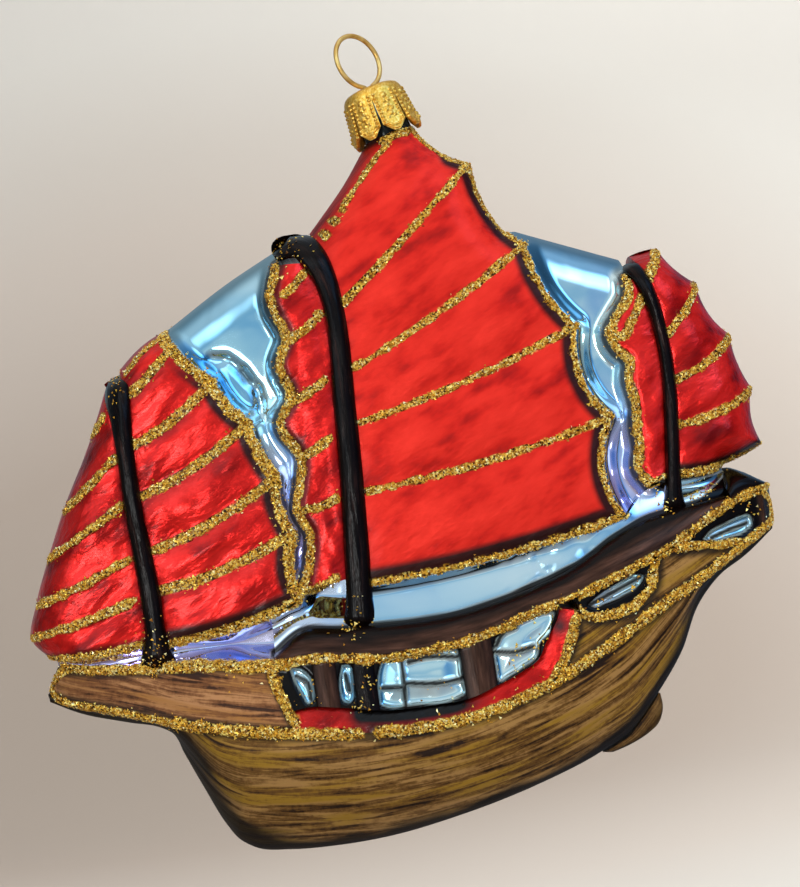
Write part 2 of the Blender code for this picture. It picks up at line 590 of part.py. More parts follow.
def build_hull(finishes, glass):
    brown, mirror = finishes["brown"], finishes["mirror"]
    band("hull", KEEL, LOWER_LINE, straight(-63.0, 57.0), 8, hull_half, brown, glass, (0.0, -0.2))
    band("bow_panel", LOWER_LINE, BOW_TOP, ((-62.8, -61.6), (-37.4, -37.4), (-24.3, -27.1)), 5,
         side_half, finishes["rust"], glass)
    band("rail", RAIL_LOW, RAIL_TOP, straight(-24.7, 49.4), 6, rail_half, finishes["black"], glass)
    band("poop", RAIL_LOW, POOP_TOP, straight(49.9, 56.3), 4, rail_half, finishes["black"], glass)
    for name, finish_name, spans in DECKHOUSE:
        half_of = recessed_half if finish_name == "mirror" else side_half
        band(name, SILL_TOP, RAIL_LOW, spans, 5, half_of, finishes[finish_name], glass)
    sill_low = [p for p in LOWER_LINE if p[0] < 16.0] + list(DECKHOUSE_END)
    band("sill", sill_low, SILL_TOP, ((-23.2, -23.6), (8.4, 8.4), (17.3, 16.5), (22.1, 19.1)), 4,
         side_half, finishes["red"], glass)
    band("quarter_panel", LOWER_LINE, QUARTER_TOP, ((17.9, 22.9), (32.4, 32.6), (48.6, 48.6)), 6,
         side_half, brown, glass)
    band("quarter_window", QUARTER_RIM, RAIL_LOW, straight(23.3, 35.1), 4, recessed_half, mirror,
         glass)
    band("stern_window", STERN_LINE, RAIL_LOW, straight(40.9, 50.1), 4, recessed_half, mirror,
         glass)
    band("stern_post", LOWER_LINE, RAIL_LOW, straight(50.8, 57.0), 5, side_half, brown, glass)
    grid = np.array([spread(row[:2], row[2:], 5) for row in RUDDER])
    round_off = np.sqrt(1 - np.linspace(0, 1, 5) ** 3 * 0.98)
    slab("rudder", grid, RUDDER_HALF * np.ones((len(RUDDER), 1)) * round_off, brown, glass)


build()
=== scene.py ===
# %% [markdown]
# # A blown-glass junk for the tree
# The real thing is one thin glass bubble, blown into a two-part mould, silvered inside, lacquered
# field by field and edged with gold glitter. A metal crown with a wire ring closes its neck.
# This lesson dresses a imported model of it: the frame below gives the sizes and the moving bodies,
# and every visible skin is a surface worked out with numpy and hung on that frame.

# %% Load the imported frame
import json
import math

import bmesh
import bpy
import numpy as np
from mathutils import Matrix

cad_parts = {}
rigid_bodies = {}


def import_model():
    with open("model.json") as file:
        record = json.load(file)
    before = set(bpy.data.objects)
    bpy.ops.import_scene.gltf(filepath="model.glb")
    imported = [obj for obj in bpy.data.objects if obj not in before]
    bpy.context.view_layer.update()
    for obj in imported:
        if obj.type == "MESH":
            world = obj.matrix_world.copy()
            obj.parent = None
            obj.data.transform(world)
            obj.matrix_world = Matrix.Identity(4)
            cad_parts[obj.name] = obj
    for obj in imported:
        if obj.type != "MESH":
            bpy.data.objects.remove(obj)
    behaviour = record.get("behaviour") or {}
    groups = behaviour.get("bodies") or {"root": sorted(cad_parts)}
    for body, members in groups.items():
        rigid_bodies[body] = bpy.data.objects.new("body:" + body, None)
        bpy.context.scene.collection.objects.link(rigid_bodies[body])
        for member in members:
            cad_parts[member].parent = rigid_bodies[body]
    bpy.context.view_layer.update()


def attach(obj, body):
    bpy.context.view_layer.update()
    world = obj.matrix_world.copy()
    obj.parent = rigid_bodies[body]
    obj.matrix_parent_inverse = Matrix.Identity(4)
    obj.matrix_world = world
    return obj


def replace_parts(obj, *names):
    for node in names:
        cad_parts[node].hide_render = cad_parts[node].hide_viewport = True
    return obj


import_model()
MM = 0.001

# %% [markdown]
# ## Camera
# The photo was taken close by, looking square at one side, with the hand a little turned. A
# long lens a foot away gives the same gentle perspective. A camera's axes are the columns of its
# matrix: to the right, up, and back towards the viewer.

# %% Camera
def linked(name, data):
    """An object for some data, put into the scene."""
    made = bpy.data.objects.new(name, data)
    bpy.context.scene.collection.objects.link(made)
    return made


HAND_ROLL = math.radians(8.2)
CAMERA_SPOT = np.array((-1.11, -310.0, -66.91)) * MM
FIELD_OF_VIEW = math.radians(26.4)
SENSOR = 36.0
right = (math.cos(HAND_ROLL), 0.0, -math.sin(HAND_ROLL))
up = (math.sin(HAND_ROLL), 0.0, math.cos(HAND_ROLL))
camera_data = bpy.data.cameras.new("photo_camera")
camera_data.sensor_width = SENSOR
camera_data.lens = SENSOR / 2 / math.tan(FIELD_OF_VIEW / 2)
camera_data.clip_start, camera_data.clip_end = 0.02, 20.0
camera = linked("photo_camera", camera_data)
camera.matrix_world = Matrix([(right[i], up[i], back, CAMERA_SPOT[i])
                              for i, back in enumerate((0.0, -1.0, 0.0))] + [(0, 0, 0, 1)])
bpy.context.scene.camera = camera
print("lens in mm:", round(camera_data.lens, 1))

# %% [markdown]
# ## Colours and nodes
# Colours are picked as the eye sees them, in sRGB, and the shaders count in linear light. One
# function turns the first into the second, and one adds any node with its settings and links.
# The nodes that most finishes need, a ramp, a soft step, a mix and a noise, have short ones.

# %% Colours and nodes
def linear(hex_colour, alpha=1.0):
    """Linear light of an sRGB hex colour: the low end is straight, the rest a power of 2.4."""
    part = np.array([int(hex_colour[i:i + 2], 16) for i in (1, 3, 5)]) / 255
    light = np.where(part <= 0.04045, part / 12.92, ((part + 0.055) / 1.055) ** 2.4)
    return (*[float(v) for v in light], alpha)


def add(tree, kind, values=None, links=None, stops=None, **settings):
    """Adds a node: its settings, the constants on its sockets, its links and its colour stops."""
    made = tree.nodes.new("ShaderNode" + kind)
    for key, value in settings.items():
        setattr(made, key, value)
    for key, value in (values or {}).items():
        made.inputs[key].default_value = value
    for key, source in (links or {}).items():
        tree.links.new(source, made.inputs[key])
    if stops:
        ramp = made.color_ramp.elements
        while len(ramp) < len(stops):
            ramp.new(1.0)
        for element, (place, colour) in zip(ramp, stops):
            element.position, element.color = place, linear(colour)
    return made


def material(name, **sockets):
    """A named material and its shader, with constants set on the shader's own sockets."""
    made = bpy.data.materials.new(name)
    made.use_nodes = True
    tree = made.node_tree
    shader = tree.nodes["Principled BSDF"]
    for key, value in sockets.items():
        shader.inputs[key.replace("_", " ")].default_value = value
    return made, tree, shader


def ramp(tree, value, stops):
    """A value's colour by some stops."""
    return add(tree, "ValToRGB", links={"Fac": value}, stops=stops).outputs["Color"]


def eased(tree, value, low, high, first=0.0, last=1.0):
    """One number up to a low value and another from a high one, with a soft step between."""
    reach = {"From Min": low, "From Max": high, "To Min": first, "To Max": last}
    return add(tree, "MapRange", reach, {"Value": value},
               interpolation_type="SMOOTHSTEP").outputs["Result"]


def blend(tree, factor, first, last, **settings):
    """A mix of two colours, each a hex colour or another node's output. A colour mix has its
    factor in socket 0, its colours in 6 and 7, and its output in 2."""
    made = add(tree, "Mix", links={0: factor}, data_type="RGBA", **settings)
    for number, colour in ((6, first), (7, last)):
        if isinstance(colour, str):
            made.inputs[number].default_value = linear(colour)
        else:
            tree.links.new(colour, made.inputs[number])
    return made.outputs[2]


def speckle(tree, place, **values):
    """A noise texture's value at a place, with its settings named as on its sockets."""
    return add(tree, "TexNoise", values, {"Vector": place}).outputs["Fac"]


def object_place(tree):
    """The place on the object itself, in metres."""
    return add(tree, "TexCoord").outputs["Object"]


print("#D8221C is", [round(v, 3) for v in linear("#D8221C")[:3]])

# %% [markdown]
# ## Stage and light
# A pale sheet runs from under the ornament up behind it, far enough away to leave room for the
# other views. Mirror glass shows whatever stands around it, so the sky of this scene matters
# more than its lamps: pale blue above, grey low down, darker to the sides, with the soft white
# of two windows and the spark of a small lamp. Matt things see a dimmer plain sky, so that the
# lamps model them, and the eye sees a plain pale room. Colours are shown as they are, without a
# film curve.

# %% Sheet
def grid_quads(index):
    """The quads between the neighbours of a grid of point numbers."""
    quads = np.stack((index[:-1, :-1], index[:-1, 1:], index[1:, 1:], index[1:, :-1]), -1)
    return quads.reshape(-1, 4)


def swept(name, profile, path_x, finish):
    """A sheet: a profile of (y, z) carried along x."""
    profile = np.array(profile)
    rows, columns = len(profile), len(path_x)
    co = np.empty((rows, columns, 3))
    co[..., 0] = path_x
    co[..., 1:] = profile[:, None]
    faces = grid_quads(np.arange(rows * columns).reshape(rows, columns))
    mesh = bpy.data.meshes.new(name)
    mesh.from_pydata(co.reshape(-1, 3).tolist(), [], faces.tolist())
    mesh.shade_smooth()
    mesh.materials.append(finish)
    return linked(name, mesh)


FLOOR_LEVEL, WALL_DISTANCE, COVE = -0.22, 0.85, 0.35
turn = np.linspace(0, math.pi / 2, 24)
cove = np.stack((WALL_DISTANCE - COVE + COVE * np.sin(turn),
                 FLOOR_LEVEL + COVE - COVE * np.cos(turn)), 1)
sheet_profile = [(-1.6, FLOOR_LEVEL), *map(tuple, cove), (WALL_DISTANCE, 1.5)]

paper, tree, shader = material("pale_paper", Roughness=0.9)
# Painted shade: the paper's colour grows darker towards one lower corner, where less light would
# fall.
SHADY_CORNER = (-0.10, 0.75, -0.36)
away = add(tree, "VectorMath", {1: SHADY_CORNER}, {0: object_place(tree)}, operation="DISTANCE")
tone = ramp(tree, eased(tree, away.outputs["Value"], 0.0, 0.8),
            ((0.0, "#9A8F82"), (0.35, "#B2A598"), (0.6, "#CEC5BA"), (0.8, "#DEDCD4"),
             (1.0, "#E2E0D9")))
tree.links.new(tone, shader.inputs["Base Color"])
stage_sheet = swept("pale_sheet", sheet_profile, np.linspace(-1.8, 1.8, 3), paper)
stage_sheet.visible_glossy = False
print("sheet points:", len(stage_sheet.data.vertices))

# %% Sky
bpy.context.scene.view_settings.view_transform = "Standard"
world = bpy.data.worlds.new("soft_daylight")
bpy.context.scene.world = world
world.use_nodes = True
sky = world.node_tree
sky.nodes.clear()
direction = add(sky, "TexCoord").outputs["Generated"]
split = add(sky, "SeparateXYZ", links={0: direction})
cloud = speckle(sky, direction, Scale=1.5, Detail=2.0, Roughness=0.4)
height = add(sky, "Math", {1: 0.8}, {0: cloud, 2: split.outputs["Z"]}, operation="MULTIPLY_ADD")
band_place = add(sky, "MapRange", {"From Min": -0.6, "From Max": 1.4},
                 {"Value": height.outputs["Value"]})
sky_colours = ramp(sky, band_place.outputs["Result"], (
    (0.0, "#6E665E"), (0.2, "#B0A6A4"), (0.36, "#CDD0D2"), (0.48, "#EEF5F4"), (0.6, "#AFCFE2"),
    (0.75, "#CDE2EC"), (1.0, "#F4F8FA")))
blue_side = eased(sky, split.outputs["X"], -0.15, 0.65)
sky_tinted = blend(sky, blue_side, sky_colours, "#86BCEC", blend_type="MULTIPLY")
sideways = add(sky, "Math", {}, {0: split.outputs["X"]}, operation="ABSOLUTE")
dimmed = eased(sky, sideways.outputs["Value"], 0.35, 1.0, 1.0, 0.28)
behind = eased(sky, split.outputs["Y"], -0.05, 0.6, 1.0, 0.4)
total = add(sky, "Math", {}, {0: dimmed, 1: behind}, operation="MULTIPLY").outputs["Value"]
WINDOWS = (((0.50, -0.62, 0.60), 0.87, 3.2), ((-0.62, -0.66, 0.42), 0.87, 2.0),
           ((-0.34, -0.93, -0.05), 0.985, 14.0))    # way to it, where it fades out, strength
for place, faint, strength in WINDOWS:
    toward = np.array(place) / np.linalg.norm(place)
    facing = add(sky, "VectorMath", {1: toward}, {0: direction}, operation="DOT_PRODUCT")
    window = eased(sky, facing.outputs["Value"], faint, 0.997, 0.0, strength)
    total = add(sky, "Math", {}, {0: total, 1: window}, operation="ADD").outputs["Value"]
seen = add(sky, "Background", {"Strength": 0.9, "Color": linear("#E6E1D8")})
plain = add(sky, "Background", {"Strength": 0.42, "Color": linear("#F2F1F4")})
mirrored = add(sky, "Background", links={"Color": sky_tinted, "Strength": total})
ray = add(sky, "LightPath")
soft = add(sky, "MixShader", links={0: ray.outputs["Is Glossy Ray"], 1: plain.outputs[0],
                                    2: mirrored.outputs[0]})
either = add(sky, "MixShader", links={0: ray.outputs["Is Camera Ray"], 1: soft.outputs[0],
                                      2: seen.outputs[0]})
add(sky, "OutputWorld", links={"Surface": either.outputs[0]})
print("sky nodes:", len(sky.nodes))

# %% Lamps
LAMPS = (   # name, place in m, width, height, power in W, colour
    ("window", (0.55, -0.62, 0.42), 0.55, 0.40, 7.6, "#FFFBF4"),
    ("fill", (-0.75, -0.55, 0.10), 0.50, 0.50, 2.0, "#EAF0FF"),
    ("low_fill", (0.10, -0.50, -0.70), 0.60, 0.30, 1.4, "#FFEFE0"),
    ("rear", (0.25, 0.70, 0.55), 0.50, 0.40, 3.0, "#FFFFFF"),
    ("wall_wash", (0.60, 0.05, 0.85), 0.60, 0.60, 4.0, "#F6F6FF"),
)
AIM = {"wall_wash": (0.15, 0.85, 0.0)}
OBJECT_CENTRE = (0.0, 0.0, -0.07)


def lamp(name, place, width, height_, power, colour):
    """A softbox that faces the ornament, or the wall behind it. Mirrors don't show it, because
    the windows of the sky stand for it there."""
    data = bpy.data.lights.new(name, "AREA")
    data.shape, data.size, data.size_y = "RECTANGLE", width, height_
    data.energy, data.color = power, linear(colour)[:3]
    made = linked(name, data)
    out = np.array(place) - np.array(AIM.get(name, OBJECT_CENTRE))
    out /= np.linalg.norm(out)
    side = np.cross((0.0, 0.0, 1.0), out)
    side /= np.linalg.norm(side)
    top = np.cross(out, side)
    made.matrix_world = Matrix([(side[i], top[i], out[i], place[i]) for i in range(3)]
                               + [(0, 0, 0, 1)])
    made.visible_glossy = False
    return made


for row in LAMPS:
    lamp(*row)
print("lamps:", len(LAMPS))

# %% [markdown]
# ## Lines of the mould
# The sizes come from the ornament itself, in millimetres: x runs from bow to stern, z up, and
# the zero point is where the hook holds the ring. A few points name each line, and a smooth
# curve is drawn through them. The points of a leech are its batten tips, with the cloth pulled
# in between them on shallow arcs.

# %% Curves
def travel(line):
    """How far along a line each of its points lies."""
    return np.concatenate(([0.0], np.cumsum(np.linalg.norm(np.diff(line, axis=0), axis=1))))


def square_to(run):
    """Unit vectors square to a run, to its left."""
    left = np.stack((-run[:, 1], run[:, 0]), 1)
    return left / np.maximum(np.linalg.norm(left, axis=1), 1e-9)[:, None]


def smooth(points, step=0.4):
    """A curve through the points, read every step mm: cubic pieces between neighbours, whose
    slopes at each point are those of the parabola through it and the points beside it."""
    p = np.array(points, float)
    knots = travel(p)
    slope = np.gradient(p, knots, axis=0)
    s = np.linspace(0.0, knots[-1], max(2, int(knots[-1] / step) + 1))
    i = np.clip(np.searchsorted(knots, s, side="right") - 1, 0, len(p) - 2)
    length = (knots[i + 1] - knots[i])[:, None]
    t = (s - knots[i])[:, None] / length
    return ((1 + 2 * t) * (1 - t) ** 2 * p[i] + t * (1 - t) ** 2 * length * slope[i]
            + t * t * (3 - 2 * t) * p[i + 1] + t * t * (t - 1) * length * slope[i + 1])


def read(line, value, axis=0):
    """The other coordinate of a line at the given x (axis 0) or z (axis 1)."""
    order = np.argsort(line[:, axis])
    return np.interp(value, line[order, axis], line[order, 1 - axis])


def along(line, share):
    """Points of a line at the given shares of its length."""
    run = travel(line)
    return np.stack([np.interp(np.asarray(share) * run[-1], run, column) for column in line.T], -1)


def stretch_of(line, first, last, axis=1):
    """The part of a line whose x or z lies between two values."""
    low, high = min(first, last), max(first, last)
    return line[(line[:, axis] >= low) & (line[:, axis] <= high)]


def soft_step(value):
    """0 below 0, 1 above 1, and 3t^2 - 2t^3 in between."""
    t = np.clip(value, 0.0, 1.0)
    return t * t * (3 - 2 * t)


def rise(value, start, reach):
    """0 up to a start, then up to 1 over a reach."""
    return soft_step((value - start) / reach)


def fade(value, start, reach):
    """1 up to a start, then down to 0 over a reach."""
    return 1 - rise(value, start, reach)


print("soft step at a quarter, a half and three quarters:", soft_step(np.array((0.25, 0.5, 0.75))))

# %% Neck and masts
NECK_LEAN = math.radians(14.0)
DOWN = np.array((math.sin(NECK_LEAN), -math.cos(NECK_LEAN)))
SIDE = np.array((math.cos(NECK_LEAN), math.sin(NECK_LEAN)))
SHOULDER, NECK_RADIUS = 17.5, 4.3


def neck_point(down, side):
    """A point of the middle plane given along and across the neck's axis."""
    return np.multiply.outer(down, DOWN) + np.multiply.outer(side, SIDE)


# Masts: points down the middle with the width there.
FORE_MAST = smooth(((-45.1, -49.5, 4.6), (-44.9, -52.4, 4.6), (-44.5, -56.6, 3.4),
                    (-44.4, -61.0, 2.7),
                    (-44.4, -70.0, 2.6), (-44.0, -78.0, 2.8), (-43.6, -86.0, 3.0),
                    (-43.7, -92.0, 3.3), (-43.9, -94.6, 4.6), (-43.9, -96.9, 6.2)))
MAIN_MAST = smooth(((-17.0, -34.4, 3.0), (-15.0, -33.1, 3.9), (-12.4, -33.2, 4.2),
                    (-10.6, -35.6, 4.0), (-9.3, -39.0, 3.4), (-8.5, -43.5, 2.9),
                    (-8.4, -51.0, 3.0), (-8.9, -59.0, 3.2), (-9.2, -67.0, 3.3),
                    (-9.7, -75.0, 3.5), (-10.3, -83.0, 3.7), (-10.9, -90.0, 3.9),
                    (-11.2, -93.2, 4.8), (-11.4, -95.4, 6.8)))
MIZZEN_MAST = smooth(((39.1, -43.4, 2.6), (40.6, -46.6, 2.2), (41.8, -51.4, 1.9),
                      (42.4, -57.0, 1.8), (42.3, -65.0, 1.9), (41.6, -72.0, 2.0),
                      (40.9, -78.0, 2.1), (40.5, -81.6, 2.7), (40.2, -84.3, 4.6)))
print("masts in mm:", [round(travel(m[:, :2])[-1], 1) for m in (FORE_MAST, MAIN_MAST, MIZZEN_MAST)])

# %% Rows and edges of the sails
# Sails aft of a mast: first row's start, then per batten its height at the mast, its tip at the
# leech, the depth of the arc below the tip and the droop of the batten.
MAIN_ROWS = ((-18.0, 8.4, -16.0, 1.2, 0.0), (-44.0, 16.8, -23.2, 1.6, 0.6),
             (-54.2, 23.2, -38.2, 1.4, 1.0), (-62.8, 29.3, -52.3, 2.2, 1.0),
             (-73.6, 32.7, -67.5, 2.3, 1.0), (-88.0, 32.3, -83.2, 0.0, 1.0))
FORE_ROWS = ((-48.4, -36.4, -43.3, 0.4, -0.8), (-53.2, -35.0, -46.4, 0.4, 0.6),
             (-61.2, -29.2, -53.0, 0.7, 1.0), (-69.5, -24.3, -60.3, 0.7, 1.0),
             (-78.3, -21.0, -69.4, 1.0, 1.0), (-84.6, -19.7, -78.4, 1.1, 1.0),
             (-93.0, -20.1, -89.0, 0.0, 1.0))
MIZZEN_ROWS = ((-42.1, 44.9, -41.4, 0.6, -0.2), (-55.9, 50.4, -47.8, 1.0, 0.6),
               (-63.2, 54.7, -56.9, 0.6, 1.0), (-70.2, 57.0, -66.0, 1.0, 1.0),
               (-78.0, 57.5, -75.4, 0.0, 1.0))

# Sails forward of a mast: height at the mast, edge x and z.
MAIN_LUFF = smooth(((-36.4, -16.6, -36.0), (-38.6, -18.2, -41.3), (-44.8, -16.6, -48.1),
                    (-48.5, -18.3, -51.6), (-55.6, -17.3, -57.8), (-58.5, -19.4, -60.8),
                    (-64.6, -16.9, -67.0), (-69.5, -17.7, -71.4), (-74.3, -18.7, -75.2),
                    (-78.0, -17.2, -78.8), (-82.5, -17.8, -83.3), (-86.8, -19.6, -87.6)))
FORE_LUFF = smooth(((-50.6, -46.8, -50.0), (-55.0, -51.2, -59.3), (-62.5, -57.3, -70.2),
                    (-70.3, -60.9, -77.8), (-79.2, -63.7, -84.4), (-85.6, -65.3, -89.8),
                    (-92.9, -62.6, -93.6)))
MIZZEN_LUFF = smooth(((-46.6, 38.3, -46.0), (-48.0, 38.2, -48.5), (-50.4, 35.9, -51.8),
                      (-52.4, 34.3, -54.1), (-55.2, 34.9, -56.8), (-58.2, 36.6, -58.9),
                      (-61.8, 36.2, -62.2), (-66.0, 36.7, -66.2), (-69.7, 36.3, -69.8),
                      (-73.1, 36.3, -73.2), (-76.2, 35.7, -76.4), (-78.2, 37.1, -78.9)))
print("rows of the sails:", len(MAIN_ROWS), len(FORE_ROWS), len(MIZZEN_ROWS))

# %% Long lines of the hull
KEEL = smooth(((-63.9, -100.7), (-59.4, -103.1), (-51.4, -105.8), (-46.2, -107.4),
               (-44.4, -108.6), (-43.3, -111.6), (-40.6, -118.2), (-38.1, -124.0),
               (-36.2, -126.9), (-33.4, -128.9), (-28.0, -129.9), (-20.0, -130.3),
               (-12.0, -130.0), (0.0, -128.2),
               (13.7, -124.9), (24.1, -121.3), (29.4, -118.6), (34.3, -113.6), (39.5, -107.1),
               (43.6, -99.6), (47.6, -95.6), (52.1, -93.1), (57.4, -89.3)))
LOWER_LINE = smooth(((-64.0, -99.3), (-60.0, -100.6), (-53.6, -102.2), (-42.0, -105.4),
                     (-30.4, -107.9),
                     (-21.6, -109.3), (-6.9, -110.7), (2.0, -110.4), (8.4, -109.3),
                     (15.1, -107.4), (26.3, -102.5), (37.7, -96.8), (46.6, -92.6),
                     (54.5, -88.7), (57.4, -87.6)))
BOW_TOP = smooth(((-60.8, -94.8), (-55.6, -95.6), (-49.6, -96.2), (-37.4, -96.8),
                  (-27.1, -98.2), (-23.5, -98.4)))
RAIL_LOW = smooth(((-25.4, -98.2), (-20.0, -98.0), (-9.0, -99.4), (-2.6, -99.4), (2.5, -98.9),
                   (8.0, -98.0), (15.2, -96.0), (23.4, -94.1), (29.2, -92.1), (38.9, -88.8),
                   (43.4, -86.4), (48.0, -84.1), (52.5, -82.5), (57.4, -82.0)))
RAIL_TOP = smooth(((-25.4, -96.8), (-20.8, -93.9), (-13.8, -94.3), (5.7, -94.2), (10.1, -93.4),
                   (15.8, -92.1), (23.0, -89.8), (29.8, -86.4), (33.8, -84.8), (41.0, -83.3),
                   (49.6, -82.2)))
POOP_TOP = smooth(((48.6, -80.4), (49.6, -78.9), (51.0, -78.4), (53.1, -79.2), (55.2, -80.6),
                   (57.2, -81.9)))
QUARTER_RIM = smooth(((22.6, -96.6), (24.4, -97.7), (28.2, -97.8), (32.1, -96.6),
                      (34.2, -94.8), (35.6, -90.6)))
STERN_LINE = smooth(((38.9, -89.2), (43.0, -89.4), (47.6, -89.9), (50.6, -90.2)))
DECKHOUSE_END = smooth(((17.3, -106.5), (19.9, -102.3), (21.4, -99.2), (22.6, -96.4)))
SILL_TOP = smooth(((-25.0, -105.8), (-20.5, -105.3), (-15.0, -106.2), (-9.5, -107.3),
                   (-2.0, -107.6), (4.0, -107.3), (8.6, -105.9), (12.7, -104.3),
                   (15.3, -102.9), (16.8, -100.5), (18.3, -98.6), (19.3, -96.9),
                   (19.7, -95.2)))
WAIST_TOP = smooth(((-25.4, -90.6), (-20.6, -89.2), (-19.6, -87.3), (-12.0, -86.4)))
AFT_DECK_TOP = smooth(((32.2, -83.5), (33.6, -82.2), (36.9, -79.4), (39.5, -79.0),
                       (41.2, -78.9)))
print("lower line in mm:", round(travel(LOWER_LINE)[-1], 1))

# %% Leeches and webs
def arc_line(rows, places):
    """A leech at the given places, 0 at the first tip and 1 at the next: the straight line
    between two tips, pulled in by 4 d t (1 - t) of the arc's depth d."""
    table = np.array(rows)
    k = np.clip(places.astype(int), 0, len(rows) - 2)
    t = (places - k)[:, None]
    first, after = table[k, 1:3], table[k + 1, 1:3]
    chord = after - first
    return first + t * chord - 4 * table[k, 3:4] * t * (1 - t) * square_to(chord)


def leech(rows, step=0.02):
    """A whole leech, read every step of the way from one tip to the next."""
    return arc_line(rows, np.arange(0.0, len(rows) - 1 + step / 2, step))


def mast_edge(mast, sign):
    """The line along one side of a mast: its middle, moved square to its run by half a width."""
    square = square_to(np.gradient(mast[:, :2], axis=0))
    return mast[:, :2] + sign * square * mast[:, 2:3] / 2


MAIN_LEECH, FORE_LEECH, MIZZEN_LEECH = leech(MAIN_ROWS), leech(FORE_ROWS), leech(MIZZEN_ROWS)
SHOULDER_LINE = smooth((tuple(neck_point(SHOULDER, -NECK_RADIUS)), (-4.6, -24.2), (-8.4, -28.3),
                        (-10.9, -30.9)))
FORE_WEB_TOP = smooth(((-36.4, -43.3), (-24.9, -36.7), (-16.9, -32.9)))
AFT_WEB_TOP = smooth(((22.3, -35.2), (31.0, -39.0), (38.4, -42.2)))
print("leech points:", len(MAIN_LEECH), len(FORE_LEECH), len(MIZZEN_LEECH))

# %% [markdown]
# ## How thick the bubble is
# Blown glass rounds over wherever it meets its outline, and it is fullest inside. So the half
# thickness at a spot is a full depth, which grows from the peak down to the deck, times the rise
# of a quarter circle over the distance from the outline.

# %% Half thickness above the deck
def distance(spots, *chains):
    """Distance of each spot to the nearest of some chains of points: to each straight stretch,
    square where the foot of the square falls on it, and to its end elsewhere."""
    flat = spots.reshape(-1, 2)
    best = np.full(len(flat), 1e3)
    for chain in chains:
        start, run = chain[:-1], np.diff(chain, axis=0)
        size = np.maximum((run ** 2).sum(1), 1e-12)
        for part in np.array_split(np.arange(len(flat)), len(flat) * len(chain) // 3000000 + 1):
            away = flat[part, None] - start[None]
            t = np.clip((away * run).sum(-1) / size, 0.0, 1.0)
            gap = np.sqrt(((away - t[..., None] * run) ** 2).sum(-1)).min(1)
            best[part] = np.minimum(best[part], gap)
    return best.reshape(spots.shape[:-1])


def thin(chain, step=0.8):
    """The same line with a point every step mm, its ends kept."""
    return along(chain, np.linspace(0, 1, max(2, int(travel(chain)[-1] / step) + 1)))


FORE_TOP = np.array(((-46.8, -50.0), (-44.6, -48.4)))
fore_head = np.linspace(0.0, 1.0, 12)[:, None]
FORE_YARD = np.array((-44.6, -48.4)) * (1 - fore_head) + np.array((-36.4, -43.3)) * fore_head
FORE_YARD[:, 1] += 4 * 0.8 * (fore_head * (1 - fore_head))[:, 0]
UPPER_OUTLINE = np.concatenate((
    thin(FORE_LUFF[::-1, 1:]), FORE_TOP, FORE_YARD, thin(FORE_WEB_TOP), [(-14.2, -30.9)],
    thin(SHOULDER_LINE[::-1])))
aft_start = int(np.argmin(np.abs(MAIN_LEECH[:, 1] - AFT_WEB_TOP[0, 1])))
STERN_OUTLINE = np.concatenate((
    thin(MAIN_LEECH[:aft_start]), thin(AFT_WEB_TOP), [(40.2, -42.0)], thin(MIZZEN_LEECH),
    [(53.6, -77.0), (50.2, -78.2)]))

DEPTH = smooth(((-16.0, 4.3), (-22.0, 6.6), (-30.0, 9.2), (-42.0, 11.2), (-60.0, 12.4),
                (-90.0, 13.4)))
ROUNDING = np.array(((-90.0, 7.0), (-34.0, 7.0), (-24.0, 5.4), (-16.0, 4.3)))
DEPTH_FALL, HALF_LENGTH = 0.26, 60.0


def envelope(spots):
    """Half thickness: depth(z) (1 - fall (x / 60)^2) sqrt(1 - (1 - d / r)^2), d from the outline."""
    full = read(DEPTH, spots[..., 1]) * (1 - DEPTH_FALL * (spots[..., 0] / HALF_LENGTH) ** 2)
    inner = distance(spots, UPPER_OUTLINE, STERN_OUTLINE) / np.interp(
        spots[..., 1], ROUNDING[:, 0], ROUNDING[:, 1])
    return full * np.sqrt(1 - (1 - np.clip(inner, 0.0, 1.0)) ** 2)


def noise(spots, size, seed, angle=0.0):
    """Smooth bumps from -1 to 1: random numbers on a lattice, eased from one to the next. The
    lattice has cells of the given sizes in mm and may be turned."""
    lattice = np.random.default_rng(seed).uniform(-1, 1, (97, 97))
    turned = np.stack((spots[..., 0] * math.cos(angle) + spots[..., 1] * math.sin(angle),
                       spots[..., 1] * math.cos(angle) - spots[..., 0] * math.sin(angle)), -1)
    place = turned / np.array(size) + 400.0
    cell = np.floor(place).astype(int)
    ease = soft_step(place - cell)
    i, j = cell[..., 0] % 96, cell[..., 1] % 96
    low = lattice[i, j] * (1 - ease[..., 0]) + lattice[i + 1, j] * ease[..., 0]
    high = lattice[i, j + 1] * (1 - ease[..., 0]) + lattice[i + 1, j + 1] * ease[..., 0]
    return low * (1 - ease[..., 1]) + high * ease[..., 1]


print("outline points:", len(UPPER_OUTLINE) + len(STERN_OUTLINE))

# %% [markdown]
# ## Glitter routes
# The gilder draws lines of glue along the moulded ridges and shakes glitter over them. Each
# route is a line with the width of its glue. The same routes raise the skin a little, darken the
# lacquer beneath, and later say where the flakes stick.

# %% Battens
def batten_line(rows, mast, k, first=0.0):
    """A batten from its mast to the leech, its middle lowered by 4 d t (1 - t) of its droop d."""
    height_, tip_x, tip_z, _, droop = rows[k]
    start = np.array((read(mast_edge(mast, 1), height_, axis=1), height_))
    t = np.linspace(first, 1.0, 40)[:, None]
    line = start * (1 - t) + np.array((tip_x, tip_z)) * t
    line[:, 1] -= 4 * droop * (t * (1 - t))[:, 0]
    return line


def inset(line, amount):
    """A line moved sideways, to the right of its run for a positive amount."""
    return line - amount * square_to(np.gradient(line, axis=0))


print("a batten's points:", len(batten_line(MAIN_ROWS, MAIN_MAST, 1)))

# %% Glitter routes
ROUTES = []


def route(points, width, curved=True):
    """Keeps a line of glue and its width: a curve through the points, or the points themselves."""
    line = smooth(points, 0.8) if curved else np.array(points, float)
    ROUTES.append((line, width))


